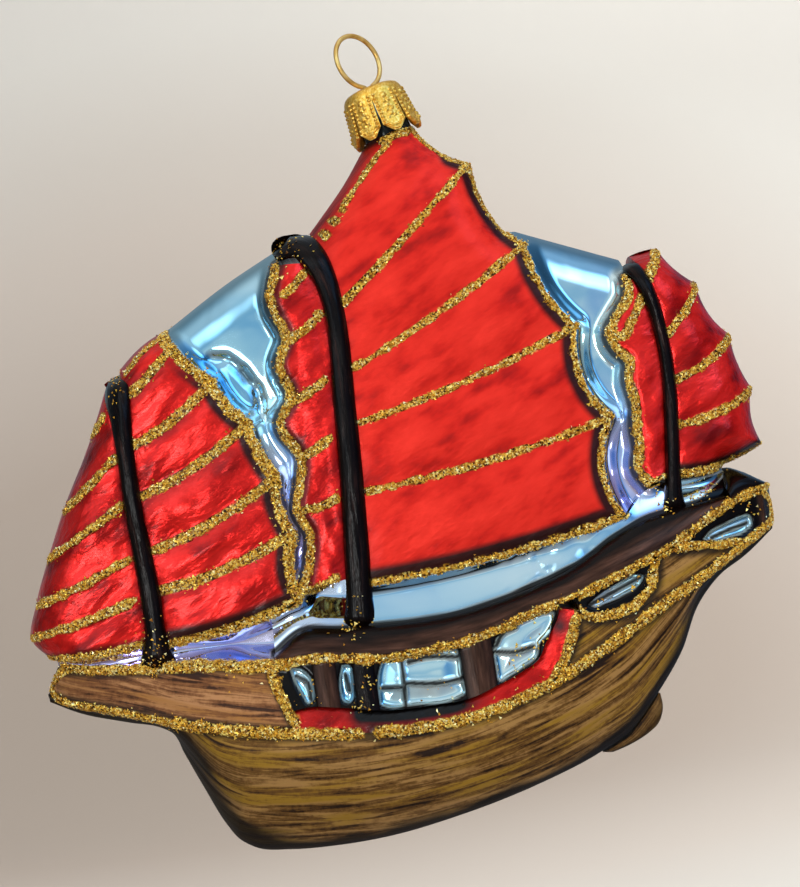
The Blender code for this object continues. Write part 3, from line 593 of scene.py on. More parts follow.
for k in range(1, 6):
    route(batten_line(MAIN_ROWS, MAIN_MAST, k, 0.015), 1.0, False)
for k in range(1, 7):
    route(batten_line(FORE_ROWS, FORE_MAST, k, 0.03), 1.44, False)
for k in range(1, 5):
    route(batten_line(MIZZEN_ROWS, MIZZEN_MAST, k, 0.04), 1.29, False)
route(thin(inset(MAIN_LEECH, 0.4)), 1.1, False)
route(thin(inset(FORE_LEECH, 0.2)), 1.82, False)
route(thin(MAIN_LUFF[:, 1:]), 1.44, False)
route(thin(MIZZEN_LUFF[:, 1:]), 1.52, False)
YARD = smooth(((4.5, -17.9), (0.9, -21.7), (-2.3, -25.2), (-5.6, -29.1), (-8.6, -32.4)), 0.61)
route(YARD, 0.95, False)
route(neck_point(np.array((18.5, 18.2, 18.2)), np.array((-1.4, 0.6, 2.6))), 1.44)
route(((-36.4, -44.4), (-38.6, -45.8), (-41.0, -47.6), (-43.0, -49.6)), 0.76)
for ends in (((-16.0, -41.0), (-12.5, -38.1)), ((-15.8, -48.3), (-10.8, -44.8)),
             ((-17.2, -58.0), (-11.5, -55.4)), ((-16.6, -66.8), (-12.0, -64.6)),
             ((-17.2, -75.1), (-12.4, -74.1)), ((-20.1, -87.9), (-14.0, -86.5)),
             ((-50.0, -58.4), (-47.7, -55.8)), ((-56.2, -70.0), (-46.3, -62.9)),
             ((-59.9, -77.3), (-46.4, -70.5)), ((-62.7, -84.5), (-46.4, -79.1)),
             ((-64.2, -89.6), (-46.4, -85.5)), ((-62.2, -93.3), (-46.6, -92.7)),
             ((41.8, -46.2), (44.4, -42.0)), ((36.1, -55.4), (40.2, -49.2)),
             ((37.1, -78.9), (39.6, -78.0))):
    middle = (np.array(ends[0]) + np.array(ends[1])) / 2 - (0.0, 0.35)
    route((ends[0], tuple(middle), ends[1]), 1.37)
route(thin(RAIL_LOW[:-3]), 1.51, False)
route(thin(stretch_of(LOWER_LINE, -62.0, -42.0, 0)), 1.3, False)
route(thin(stretch_of(LOWER_LINE, -42.4, 56.6, 0)), 1.75, False)
route(thin(BOW_TOP[3:]), 1.68, False)
route(((-59.8, -95.3), (-61.7, -96.5), (-62.7, -97.9), (-62.6, -99.2), (-61.4, -100.0)), 1.26)
route(((-26.0, -98.6), (-25.2, -102.4), (-23.4, -107.6)), 1.51)
route(thin(DECKHOUSE_END), 1.60, False)
route(thin(QUARTER_RIM), 1.43, False)
route(thin(STERN_LINE), 1.43, False)
route(((50.6, -90.2), (53.0, -90.0), (55.4, -88.6)), 1.43)
route(((54.9, -82.1), (56.4, -84.4), (56.8, -87.4)), 1.26)
BARE_SPOT, BARE_REACH = np.array((-12.3, -109.9)), 1.5
RAGGED = 0.24


def glue(spots):
    """1 on a route's middle, 0 at its edge, down to -1: 1 - d / half width for the nearest
    route, with d made ragged by noise, and none over the one bare spot of the lower line."""
    best = np.full(spots.shape[:-1], -1.0)
    rough = RAGGED * noise(spots, (1.1, 1.1), 7)
    for line, width in ROUTES:
        low, high = line.min(0) - width, line.max(0) + width
        near = ((spots > low) & (spots < high)).all(-1)
        if near.any():
            gap = distance(spots[near], thin(line, 1.0)) + rough[near]
            best[near] = np.maximum(best[near], 1 - gap / (width / 2))
    bare = np.clip(1 - np.linalg.norm(spots - BARE_SPOT, axis=-1) / BARE_REACH, 0, 1)
    return np.clip(best - 2.5 * bare, -1.0, 1.0)


print("routes:", len(ROUTES))

# %% [markdown]
# ## A closed double skin
# Every field of the bubble is a grid of spots with a half thickness at each. Two sheets, one
# towards the viewer and one away, with a wall round their border, make it a closed mesh. If its
# signed volume comes out negative, the faces are turned round. Numbers kept at its points tell
# the paints where the glue, the airbrushed black and the painted shade, and the lilac sheen, a
# painted reflection, go.

# %% Closed double skin
GLUE_HEIGHT = 0.3
THINNEST = 0.06                     # least half thickness of a skin, at the outline
EDGE_ON, EDGE_ON_FADE = 0.12, 0.2   # how square to the side a sheet has to face to take glue
SKINS = []      # the sheets that glitter can stick to, with the glue at each point


def mesh_object(name, co, faces, finish, body, uv=None, shades=None, sharp=50.0):
    """An object from points in mm and quads, its faces turned outwards."""
    corner = co[faces]
    volume = (np.cross(corner[:, 0], corner[:, 1]) * corner[:, 2]).sum()
    volume += (np.cross(corner[:, 0], corner[:, 2]) * corner[:, 3]).sum()
    if volume < 0:
        faces = faces[:, ::-1]
    mesh = bpy.data.meshes.new(name)
    mesh.from_pydata((co * MM).tolist(), [], faces.tolist())
    mesh.shade_smooth()
    mesh.set_sharp_from_angle(angle=math.radians(sharp))
    if uv is not None:
        layer = mesh.uv_layers.new(name="UVMap")
        layer.data.foreach_set("uv", uv[faces.ravel()].astype(np.float32).ravel())
    for key, values in (shades or {}).items():
        layer = mesh.attributes.new(key, "FLOAT", "POINT")
        layer.data.foreach_set("value", values.astype(np.float32).ravel())
    mesh.materials.append(finish)
    made = linked(name, mesh)
    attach(made, body)
    return made


def skin(name, spots, half, finish, uv, shade=0.0, lilac=0.0, sticky=True):
    """A field of the glass: a sheet at -half, one at +half, and the wall between them. No glue
    runs where a sheet stands edge on, so a line on one face never meets that on the other."""
    rows, columns = half.shape
    bed = glue(spots) if sticky else np.full(half.shape, -1.0)
    taper = np.clip(half / 2.0, 0.0, 1.0)
    sheet = np.concatenate((spots, half[..., None]), -1)
    square = np.cross(*np.gradient(sheet, axis=(0, 1)))
    facing = np.abs(square[..., 2]) / np.maximum(np.linalg.norm(square, axis=-1), 1e-9)
    bed = np.where(bed > 0, bed * rise(facing, EDGE_ON, EDGE_ON_FADE), bed)
    half = np.maximum(half + GLUE_HEIGHT * np.sqrt(np.clip(bed, 0, 1)) * taper, THINNEST)
    co = np.empty((2, rows, columns, 3))
    co[..., 0], co[..., 2] = spots[..., 0], spots[..., 1]
    co[0, ..., 1], co[1, ..., 1] = -half, half
    index = np.arange(rows * columns).reshape(rows, columns)
    front = grid_quads(index)
    border = np.concatenate((index[0], index[1:, -1], index[-1, -2::-1], index[-2:0:-1, 0]))
    after = np.roll(border, -1)
    wall = np.stack((border, border + index.size, after + index.size, after), 1)
    faces = np.concatenate((front, front[:, ::-1] + index.size, wall[:, ::-1]))
    both = {"glue": np.clip(bed, 0, 1), "shade": shade + 0 * half, "lilac": lilac + 0 * half}
    made = mesh_object(name, co.reshape(-1, 3), faces, finish, "glass",
                       np.tile(uv.reshape(-1, 2), (2, 1)),
                       {key: np.tile(value.ravel(), 2) for key, value in both.items()})
    SKINS.append((name, co, bed))
    return made


def uv_of(spots, size=10.0):
    """Map coordinates that follow the sheet: its spots, in units of 10 mm."""
    return spots / size


print("the bow's place on the map:", uv_of(np.array((-64.0, -95.0))))

# %% [markdown]
# ## Paint over glass
# All fields share three layers: their own finish, gloss black where the airbrush went along an
# edge or where a field paints in shade, and glitter dust set in glue. The dust between the larger
# flakes is drawn, not modelled: cells a third of a millimetre across, each with its own tone and
# its own tilt.

# %% Paint over glass
DUST_GRAIN = 0.34 * MM


def painted(tree, shader, colour, relief, metal, rough, bump, depth, dark="#090504"):
    """Joins the layers and wires them to the shader. relief is the finish's own height."""
    shade_in = add(tree, "Attribute", attribute_name="shade")
    glue_in = add(tree, "Attribute", attribute_name="glue")
    wet = add(tree, "MapRange", {"From Min": 0.0, "From Max": 0.16},
              {"Value": glue_in.outputs["Fac"]}).outputs["Result"]
    grains = add(tree, "TexVoronoi", {"Scale": 1 / DUST_GRAIN}, {"Vector": object_place(tree)})
    grain_tone = ramp(tree, grains.outputs["Color"],
                      ((0.2, "#2E1805"), (0.38, "#80501A"), (0.54, "#C08A24"),
                       (0.7, "#ECBE44"), (0.82, "#FFEA8C")))
    # The shade number turns the colour black: airbrushed paint, and painted shade where a field sets
    # it.
    airbrush_and_painted_shade = blend(tree, shade_in.outputs["Fac"], colour, dark)
    tree.links.new(blend(tree, wet, airbrush_and_painted_shade, grain_tone), shader.inputs["Base Color"])
    bare = add(tree, "Math", {1: -metal, 2: metal}, {0: shade_in.outputs["Fac"]},
               operation="MULTIPLY_ADD")
    for socket, plain, in_glue in (("Metallic", bare.outputs["Value"], 0.5),
                                   ("Roughness", rough, 0.42)):
        either = add(tree, "Mix", {3: in_glue}, {0: wet}, data_type="FLOAT")
        if isinstance(plain, float):
            either.inputs[2].default_value = plain
        else:
            tree.links.new(plain, either.inputs[2])
        tree.links.new(either.outputs[0], shader.inputs[socket])
    first = add(tree, "Bump", {"Strength": bump, "Distance": depth}, {"Height": relief})
    lumps = add(tree, "Math", {}, {0: grains.outputs["Distance"], 1: wet}, operation="MULTIPLY")
    second = add(tree, "Bump", {"Strength": 1.0, "Distance": 0.00025},
                 {"Height": lumps.outputs["Value"], "Normal": first.outputs["Normal"]})
    tree.links.new(second.outputs["Normal"], shader.inputs["Normal"])


def turned(tree, degrees, stretch):
    """Object coordinates squeezed along a way that rises by some degrees, so that a pattern
    comes out that much longer along it."""
    return add(tree, "Mapping", {"Rotation": (0.0, -math.radians(degrees), 0.0),
                                 "Scale": (stretch, 1.0, 1.0)},
               {"Vector": object_place(tree)}, vector_type="TEXTURE").outputs["Vector"]


def dragged(tree, lengthwise, crosswise):
    """The piece's map squeezed by two numbers, so that strokes run along its first way."""
    uv_in = add(tree, "UVMap")
    return add(tree, "Mapping", {"Scale": (lengthwise, crosswise, 1.0)},
               {"Vector": uv_in.outputs["UV"]}).outputs["Vector"]


print("dust grains in a millimetre:", round(MM / DUST_GRAIN, 1))

# %% [markdown]
# ## Lacquers
# The red is a clear candy lacquer over the silver, so it is part metal, part paint. On the main
# sail it is satin, with soft blotches from the brush that are also a painted shade of its folds;
# on the smaller sails it runs glossier over deeper wrinkles, with darker blotches as their painted
# shade. The hull is brown enamel with darker strokes dragged along it by a dry brush. Masts and
# rail are black-brown gloss, the brown partly a painted sheen. Bare silvered glass is a mirror
# whose colour holds a painted reflection, pale sky blue in patches and a lilac sheen near the
# decks, with slow waves where the mould was uneven.

# %% Red candy lacquers
def candy(name, tones, rough, metal, coat, degrees, blotch_scale, bump):
    """Clear lacquer over silver: blotches 2.4 times as long along a way as across it, from the brush
    and partly a painted shade of the cloth's folds.
    """
    made, tree, shader = material(name, Coat_Weight=coat, Coat_Roughness=0.16,
                                  Specular_IOR_Level=0.2)
    way = turned(tree, degrees, 2.4)
    # Partly painted shade: the darker tones of the blotches stand for the shade in the cloth's
    # folds.
    blotch = speckle(tree, way, Scale=blotch_scale, Detail=3.0, Roughness=0.5)
    grain = speckle(tree, way, Scale=blotch_scale * 3.4, Detail=3.0)
    painted(tree, shader, ramp(tree, blotch, tones), grain, metal, rough, bump, 0.0004)
    return made


satin_red = candy("red_candy_lacquer_satin",
                  ((0.3, "#A0120C"), (0.41, "#C81C12"), (0.5, "#DA271A"), (0.7, "#E83022")),
                  0.46, 0.35, 0.04, 27, 330.0, 0.4)
gloss_red = candy("red_candy_lacquer_gloss",
                  ((0.3, "#7E0808"), (0.43, "#BA120E"), (0.53, "#DA1E18"), (0.68, "#EE2A26")),
                  0.28, 0.6, 0.12, 27, 240.0, 0.8)
print("reds:", satin_red.name, gloss_red.name)

# %% Silvered glass and dark lacquers
mirror, tree, shader = material("bare_silvered_glass", Specular_IOR_Level=0.13)
spot = object_place(tree)
# Painted reflection: the mirror's own colour is tinted in patches of pale sky blue, and lilac where
# its lilac number is set, for the sky and room it shows.
reflected_sky_patches = speckle(tree, spot, Scale=42.0, Detail=2.0, Distortion=0.8)
tone = ramp(tree, reflected_sky_patches, ((0.3, "#9CCAE0"), (0.45, "#BCDCE6"), (0.58, "#D6E9EA"),
                          (0.75, "#C6D2EA")))
lilac_in = add(tree, "Attribute", attribute_name="lilac")
sheen = blend(tree, lilac_in.outputs["Fac"], tone, "#D2C2F0")
swell = speckle(tree, spot, Scale=150.0, Detail=1.0, Distortion=0.6)
painted(tree, shader, sheen, swell, 1.0, 0.07, 0.35, 0.0005)


def dark_gloss(name, tones, bump):
    """Black-brown gloss lacquer with streaks: along the map's first way 12 mm, across it 1 mm. The
    brown of the streaks is partly a painted sheen.
    """
    made, tree, shader = material(name, Specular_IOR_Level=0.13)
    streak = speckle(tree, dragged(tree, 0.9, 8.0), Scale=1.3, Detail=4.0, Roughness=0.6)
    painted(tree, shader, ramp(tree, streak, tones), streak, 0.15, 0.17, bump, 0.0003)
    return made


# The brown in the black's streaks is partly a painted sheen.
mast_black = dark_gloss("black_gloss_lacquer",
                        ((0.35, "#050202"), (0.55, "#0E0605"), (0.68, "#24130F"),
                         (0.8, "#4A2C24")), 0.7)
rail_brown = dark_gloss("dark_brown_gloss_lacquer",
                        ((0.3, "#1A0E09"), (0.48, "#38241B"), (0.62, "#4C3329"),
                         (0.78, "#664638")), 0.3)
print("dark lacquers:", mast_black.name, rail_brown.name)

# %% Dry-brushed enamels
def wood_paint(name, light, gold, mid, dark):
    """Brown enamel: broad patches of a light and a golden brown, and darker strokes 14 mm long
    and 1 mm wide along the map's first way, with a fine speckle over all."""
    made, tree, shader = material(name, Coat_Weight=0.04, Coat_Roughness=0.28,
                                  Specular_IOR_Level=0.18)
    patch = speckle(tree, dragged(tree, 0.12, 1.1), Scale=3.0, Detail=2.0)
    strokes = speckle(tree, dragged(tree, 0.26, 3.6), Scale=2.6, Detail=6.0, Roughness=0.64,
                      Distortion=0.5)
    speck = speckle(tree, object_place(tree), Scale=1100.0, Detail=2.0, Roughness=0.7)
    rubbed = add(tree, "Math", {1: 0.16}, {0: speck, 2: strokes},
                 operation="MULTIPLY_ADD").outputs["Value"]
    ground = blend(tree, eased(tree, patch, 0.42, 0.6), light, gold)
    brushed = blend(tree, eased(tree, rubbed, 0.52, 0.66), mid, ground)
    lined = blend(tree, eased(tree, rubbed, 0.44, 0.53), dark, brushed)
    painted(tree, shader, lined, strokes, 0.12, 0.54, 0.45, 0.0004, "#0E0703")
    return made


brown = wood_paint("brown_enamel_dry_brushed", "#94703F", "#8A681C", "#5C3D15", "#201004")
rust = wood_paint("reddish_enamel_dry_brushed", "#AC7C52", "#986836", "#704627", "#321A0C")
print("materials:", len(bpy.data.materials))

# %% [markdown]
# ## Sails
# A junk's sail is a fan of battens from the mast to the leech. The mould pressed the cloth
# between them into pillows with small wrinkles. Rows of the grid follow the battens, and columns
# run from the mast to the edge. They crowd where the glass rounds over, because the curve turns
# fastest there.

# %% Cloth aft of a mast
BILLOW, LUFF_BILLOW, LUFF_WRINKLE = 0.8, 0.5, 0.44
FULL_RELIEF = 4.0
RIM_SINK, RIM_REACH = 0.45, 1.4     # a sail sinks a little all along its edge
UNDER_BATTEN = 0.42                 # share of the way to the next batten that lies in shade
AIRBRUSH = 1.1                      # how far the black fades in from a sail's edge


def crowded(count, both=True):
    """Shares from 0 to 1 that crowd at 1, or at both ends: a sine, or a cosine's half turn."""
    w = np.linspace(0.0, 1.0, count)
    return (1 - np.cos(np.pi * w)) / 2 if both else np.sin(np.pi / 2 * w)


def cloth(spots, seed, angle):
    """Wrinkles pressed in the cloth: long bumps along an angle and finer ones on them."""
    return (noise(spots, (8.0, 2.6), seed, angle) * 0.65
            + noise(spots, (3.4, 1.3), seed + 1, angle + 0.35) * 0.35)


def airbrushed(rim, start, strength=0.97):
    """Black from an edge inwards: full to start mm, then fading."""
    return strength * fade(rim, start, AIRBRUSH)


def relief_room(base):
    """How much of its relief a thin part keeps: all from 4 mm half thickness on, none at 0."""
    return np.clip(base / FULL_RELIEF, 0.0, 1.0)


def sail(name, rows, mast, top_start, columns, steps, edge, seed, angle, finish, dark_rim,
         wrinkle, side_line=None, under=0.0):
    """Fan of rows: row s starts on the mast and ends on the leech, both at place s between the
    battens; its height is the envelope, plus a pillow of sin(pi s) between battens."""
    count = len(rows) - 1
    first = (np.arange(steps) / steps) ** 1.6
    s = np.concatenate([first] + [k + np.arange(steps) / steps for k in range(1, count)]
                       + [[float(count)]])
    table = np.array(rows)
    height_ = np.interp(s, np.arange(count + 1), table[:, 0])
    line = mast_edge(mast, 1) if side_line is None else side_line
    start = np.stack((read(line, height_, axis=1), height_), 1)
    if top_start is not None:
        start = start + np.clip(1 - s, 0, 1)[:, None] * (np.array(top_start) - start[0])
    tip = arc_line(rows, s)
    u = crowded(columns)[None, :, None]
    droop = np.interp(s, np.arange(count + 1), table[:, 4])
    spots = start[:, None] * (1 - u) + tip[:, None] * u
    spots[..., 1] -= 4 * droop[:, None] * (u * (1 - u))[..., 0]
    base = envelope(spots)
    room = relief_room(base)
    between = np.abs(np.sin(np.pi * s))[:, None] * np.sin(np.pi * u[..., 0]) ** 0.5
    rim = distance(spots, edge)
    half = base + room * (BILLOW * between - 0.2 + wrinkle * cloth(spots, seed, angle))
    half -= room * RIM_SINK * fade(rim, 0.0, RIM_REACH)
    # Painted shade: the cloth is darker just below each batten.
    below = fade((s % 1)[:, None] * np.ones(rim.shape), 0.0, UNDER_BATTEN)
    shade = under * below * (0.6 + 0.4 * noise(spots, (9.0, 3.0), seed + 5, 0.5))
    return skin(name, spots, half, finish, uv_of(spots), np.maximum(dark_rim(spots, rim), shade))


print("crowded shares:", crowded(5).round(2))

# %% The three sails
def main_dark(spots, rim):
    """Black inside the leech and foot and round the neck, and half dark outside the yard, a painted
    shade where the head rounds away.
    """
    # Painted shade: half dark outside the yard, where the sail's head rounds away.
    outside = spots[..., 0] - read(YARD, spots[..., 1], axis=1)
    outside = soft_step(-(outside + 0.3) / 2.2) * (spots[..., 1] > YARD_FOOT)
    throat = fade(distance(spots, SHOULDER_RING), 0.8, 1.6)
    return np.maximum.reduce((airbrushed(rim, 1.8), 0.5 * outside, 0.97 * throat))


def fore_dark(spots, rim):
    """Black inside the leech and foot, thinner towards the yard."""
    low = 0.3 + 0.7 * soft_step((-48.0 - spots[..., 1]) / 6.0)
    return airbrushed(rim, 1.8) * low


def mizzen_dark(spots, rim):
    """Black along the foot, and half dark along the leech, a painted shade where the glass rounds
    away.
    """
    # Painted shade: half dark along the leech, where the glass rounds away.
    edge = distance(spots, thin(MIZZEN_LEECH))
    return np.maximum(airbrushed(rim, 1.2), 0.5 * fade(edge, 0.0, 3.5))


main_side = np.concatenate((SHOULDER_LINE, [(-9.6, -33.0)],
                            mast_edge(MAIN_MAST, 1)[MAIN_MAST[:, 1] < -36.0]))
YARD_FOOT = -34.0
SHOULDER_RING = neck_point(np.full(9, SHOULDER - 0.4), np.linspace(-5.0, 6.0, 9))
MAIN_FOOT = batten_line(MAIN_ROWS, MAIN_MAST, 5)
FORE_FOOT = batten_line(FORE_ROWS, FORE_MAST, 6)
MIZZEN_FOOT = batten_line(MIZZEN_ROWS, MIZZEN_MAST, 4)
low_leech = MAIN_LEECH[MAIN_LEECH[:, 1] < -22.0]
main_sail = sail("main_sail_cloth", MAIN_ROWS, MAIN_MAST, None, 110, 34,
                 np.concatenate((low_leech, MAIN_FOOT[::-1])), 11, 0.5, satin_red, main_dark,
                 0.14, main_side)
fore_sail = sail("fore_sail_cloth", FORE_ROWS, FORE_MAST, (-44.6, -48.4), 78, 19,
                 np.concatenate((FORE_LEECH[20:], FORE_FOOT[::-1])), 21, 0.35, gloss_red,
                 fore_dark, 0.42, under=0.55)
mizzen_sail = sail("mizzen_sail_cloth", MIZZEN_ROWS, MIZZEN_MAST, (40.2, -42.0), 58, 23,
                   MIZZEN_FOOT, 31, 0.6, gloss_red, mizzen_dark, 0.3, under=0.3)
for piece, node in ((main_sail, "main_sail"), (fore_sail, "fore_sail"),
                    (mizzen_sail, "mizzen_sail")):
    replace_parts(piece, node)
    print(piece.name, "triangles:", len(piece.data.polygons) * 2)

# %% Luffs, forward of the masts
def luff(name, table, mast, columns, edge, seed, angle, open_edge, start_dark):
    """Rows from the mast forward to the edge, where fine glass rounds over or meets a web."""
    rows = along(table, np.linspace(0, 1, int(len(table) * 0.95)))
    start = np.stack((read(mast_edge(mast, -1), rows[:, 0], axis=1), rows[:, 0]), 1)
    u = crowded(columns, not open_edge)[None, :, None]
    spots = start[:, None] * (1 - u) + rows[:, None, 1:] * u
    base = envelope(spots)
    room = relief_room(base)
    rim = distance(spots, edge)
    half = base + room * (LUFF_BILLOW * np.sin(np.pi * u[..., 0]) ** 0.5 - 0.2
                          + LUFF_WRINKLE * cloth(spots, seed, angle))
    half -= room * RIM_SINK * fade(rim, 0.0, RIM_REACH)
    made = skin(name, spots, half, gloss_red, uv_of(spots), airbrushed(rim, start_dark, 0.8))
    return made


fore_foot_left = np.array(((-62.6, -93.6), (-54.0, -93.3), (-45.4, -92.9)))
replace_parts(luff("fore_luff_cloth", FORE_LUFF, FORE_MAST, 62, fore_foot_left, 41, 0.35, True,
                 0.8), "fore_luff")
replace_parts(luff("main_luff_cloth", MAIN_LUFF, MAIN_MAST, 30, MAIN_LUFF[:, 1:], 51, 1.2, False,
                 1.1), "main_luff")
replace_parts(luff("mizzen_luff_cloth", MIZZEN_LUFF, MIZZEN_MAST, 26, MIZZEN_LUFF[:, 1:], 61, 1.2,
                 False, 0.0), "mizzen_luff")
print("red fields:", 6)

# %% [markdown]
# ## Masts
# Each mast is a half-round ridge of the glass, painted gloss black. At its head it runs over
# the outline like a rod, so its half thickness there is its own circle, and further in it is the
# bubble's thickness with the ridge on top. The head is rounded, and the foot spreads and sinks
# into the deck.

# %% Masts
MAST_LIFT, MAST_LAP = 1.15, 0.2


def mast_ridge(name, mast, node, columns=19):
    """Across the mast, t from -1 to 1: sqrt(envelope^2 + (w/2)^2 (1 - t^2)) + lift sqrt(1 - t^2)."""
    t = np.sin(np.linspace(-np.pi / 2, np.pi / 2, columns))
    run = travel(mast[:, :2])
    radius = mast[:, 2] / 2
    head = np.sqrt(1 - (1 - np.clip(run / radius, 0.03, 1)) ** 2)[:, None]
    foot = soft_step((run[-1] - run) / 2.6)[:, None]
    across = (t[None] * (radius + MAST_LAP)[:, None] * head)[..., None]
    square = square_to(np.gradient(mast[:, :2], axis=0))
    spots = mast[:, None, :2] + across * square[:, None]
    bulge = np.sqrt(1 - t ** 2)[None] * head
    base = envelope(spots)
    lift = MAST_LIFT * bulge * relief_room(base) * (0.35 + 0.65 * foot)
    half = np.sqrt(base ** 2 + (radius[:, None] * bulge) ** 2) + lift
    half -= 0.35 * (1 - np.sqrt(1 - t ** 2)[None]) + 0.5 * (1 - foot)
    half *= head ** 0.5
    lengthwise = np.stack((np.repeat(run[:, None], columns, 1), across[..., 0]), -1)
    half += 0.12 * noise(lengthwise, (6.0, 0.7), 5 + columns) * bulge
    made = skin(name, spots, half, mast_black, lengthwise / 10.0, sticky=False)
    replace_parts(made, node)


mast_ridge("fore_mast_ridge", FORE_MAST, "fore_mast")
mast_ridge("main_mast_ridge", MAIN_MAST, "main_mast")
mast_ridge("mizzen_mast_ridge", MIZZEN_MAST, "mizzen_mast")
print("masts:", 3)

# %% [markdown]
# ## Mirror webs
# Between the sails the bubble was left bare: sky. It sinks behind the sails with a soft
# shoulder, because blown glass can't follow a sharp step. The strip above the rail swells back
# out to meet the wale. One dent in the fore web was there when the glass was blown.

# %% Mirror webs
WEB_SINK, WEB_SHOULDER = 0.22, 2.6
STATIONS = np.array(((-64.0, 4.0, 3.6, 3.2), (-56.0, 8.5, 8.0, 6.5), (-46.0, 12.5, 11.8, 9.5),
                     (-34.0, 15.8, 14.8, 12.0), (-15.0, 18.0, 17.0, 14.0),
                     (5.0, 18.6, 17.6, 14.6), (22.0, 18.0, 17.0, 14.2), (36.0, 15.6, 15.0, 12.6),
                     (47.0, 12.0, 12.0, 10.6), (57.4, 7.0, 7.6, 7.2)))
HULL_LINES = smooth(STATIONS)
SAIL_EDGES = (thin(FORE_LEECH), thin(MAIN_LUFF[:, 1:]), thin(MAIN_LEECH), MAIN_FOOT, FORE_FOOT,
              thin(MIZZEN_LUFF[:, 1:]), MIZZEN_FOOT, fore_foot_left)
DENT = smooth(((-28.9, -49.4), (-26.4, -50.0), (-24.6, -51.8), (-23.4, -53.6), (-22.3, -56.0),
               (-22.4, -58.4), (-23.6, -59.8)))


def breadth(x, column):
    """Half breadth at x of the lower line (1), the rail's foot (2) or its top (3), rounded off
    by a quarter ellipse over the last 3.5 mm at bow and stern."""
    bow = np.clip((x + 64.0) / 3.5, 0.0, 1.0)
    stern = np.clip((57.4 - x) / 3.5, 0.0, 1.0)
    ends = np.sqrt(1 - (1 - bow) ** 2) * np.sqrt(1 - (1 - stern) ** 2)
    return np.interp(x, HULL_LINES[:, 0], HULL_LINES[:, column]) * ends


def mirror_half(spots, rail_line=None, column=3, swell=3.0):
    """The envelope, sunk away from the sails' edges, and risen again to the hull's breadth."""
    sink = WEB_SINK * rise(distance(spots, *SAIL_EDGES), 0.0, WEB_SHOULDER)
    sunk = envelope(spots) * (1 - sink) - 0.3 + 0.10 * noise(spots, (5.0, 8.0), 71, 0.4)
    if rail_line is not None:
        near = fade(distance(spots, rail_line), 0.0, swell)
        sunk = sunk * (1 - near) + (breadth(spots[..., 0], column) - 0.4) * near
    return sunk


def web(name, node, top, bottom, left, right, rows, columns):
    """A patch between four edges: top and bottom blended, plus the sides blended, less the
    blend of the four corners."""
    side_share = np.linspace(0, 1, rows) ** 1.3
    v = side_share[:, None, None]
    u = crowded(columns)[None, :, None]
    t, b = along(top, crowded(columns))[None], along(bottom, crowded(columns))[None]
    l, r = along(left, side_share)[:, None], along(right, side_share)[:, None]
    corners = ((1 - v) * ((1 - u) * t[:, :1] + u * t[:, -1:])
               + v * ((1 - u) * b[:, :1] + u * b[:, -1:]))
    spots = (1 - v) * t + v * b + (1 - u) * l + u * r - corners
    half = mirror_half(spots)
    dent = distance(spots, DENT)
    ripple = np.exp(-(dent / 0.95) ** 2)
    half -= 0.8 * ripple * (1 + 0.35 * noise(spots, (2.2, 1.2), 77, 0.9))
    luff_gap = distance(spots, MAIN_LUFF[:, 1:], MIZZEN_LUFF[:, 1:])
    # Black paint beside the luffs' glitter, and painted shade in the dent.
    shade = np.maximum(0.9 * fade(luff_gap, 1.2, 0.4),
                       0.8 * ripple * soft_step(noise(spots, (1.6, 1.0), 78, 0.9) * 1.5 + 0.3))
    # Painted reflection: a lilac sheen low in the web.
    low = soft_step((-56.0 - spots[..., 1]) / 22.0)
    made = skin(name, spots, half, mirror, uv_of(spots), shade, 0.7 * low)
    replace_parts(made, node)


WEB_LAP = 0.3
left_edge = inset(stretch_of(FORE_LEECH, -89.2, -43.0), WEB_LAP)
right_edge = inset(np.concatenate(([(-16.9, -32.9)], MAIN_LUFF[:, 1:])), -WEB_LAP)
web("fore_sky", "fore_web", np.concatenate((left_edge[:1], FORE_WEB_TOP[1:-1], right_edge[:1])),
    np.array((left_edge[-1], right_edge[-1])), left_edge, right_edge, 130, 46)
left_edge = inset(stretch_of(MAIN_LEECH, -83.2, AFT_WEB_TOP[0, 1]), WEB_LAP)
right_edge = np.concatenate(([(38.4, -42.2)], inset(MIZZEN_LUFF[:, 1:], -WEB_LAP)))
web("aft_sky", "aft_web", np.concatenate((left_edge[:1], AFT_WEB_TOP[1:-1], right_edge[:1])),
    np.array((left_edge[-1], right_edge[-1])), left_edge, right_edge, 110, 46)
print("sky fields:", 2)

# %% [markdown]
# ## Bands of the hull
# Below the sails every field lies between two long lines, so it is a ruled patch: straight rows
# from a point of the lower line to a point of the upper one. Each field says how its half
# thickness goes from the lower line to the upper.

# %% Bands of the hull
PAINTS = {     # a field's lacquer, and the slot of its node
    "mirror": (mirror, "silvered_glass"), "red": (gloss_red, "red_lacquer"),
    "planks": (brown, "brown_lacquer"), "rust": (rust, "bow_lacquer"),
    "wale": (rail_brown, "black_lacquer"), "post": (rail_brown, "brown_lacquer"),
    "black": (mast_black, "black_lacquer"),
}
GRAIN, GRAIN_HEIGHT = (14.0, 1.1), 0.08     # long low bumps along the planks


def ruled(low, high, spans, long_count, cross):
    """Rows between two lines: spans are pairs of x, on the low and on the high line."""
    table = np.array(spans, float)
    places = np.linspace(0, len(table) - 1, long_count)
    x_low = np.interp(places, np.arange(len(table)), table[:, 0])
    x_high = np.interp(places, np.arange(len(table)), table[:, 1])
    first = np.stack((x_low, read(low, x_low)), 1)[:, None]
    last = np.stack((x_high, read(high, x_high)), 1)[:, None]
    t = cross[0, None, :, None]
    return first * (1 - t) + last * t


def straight(start, end):
    """Spans of a band whose ends stand upright."""
    return ((start, start), (end, end))


def shares(count):
    """Shares of the way across a band, as one row that goes with every place along it."""
    return np.linspace(0, 1, count)[None]


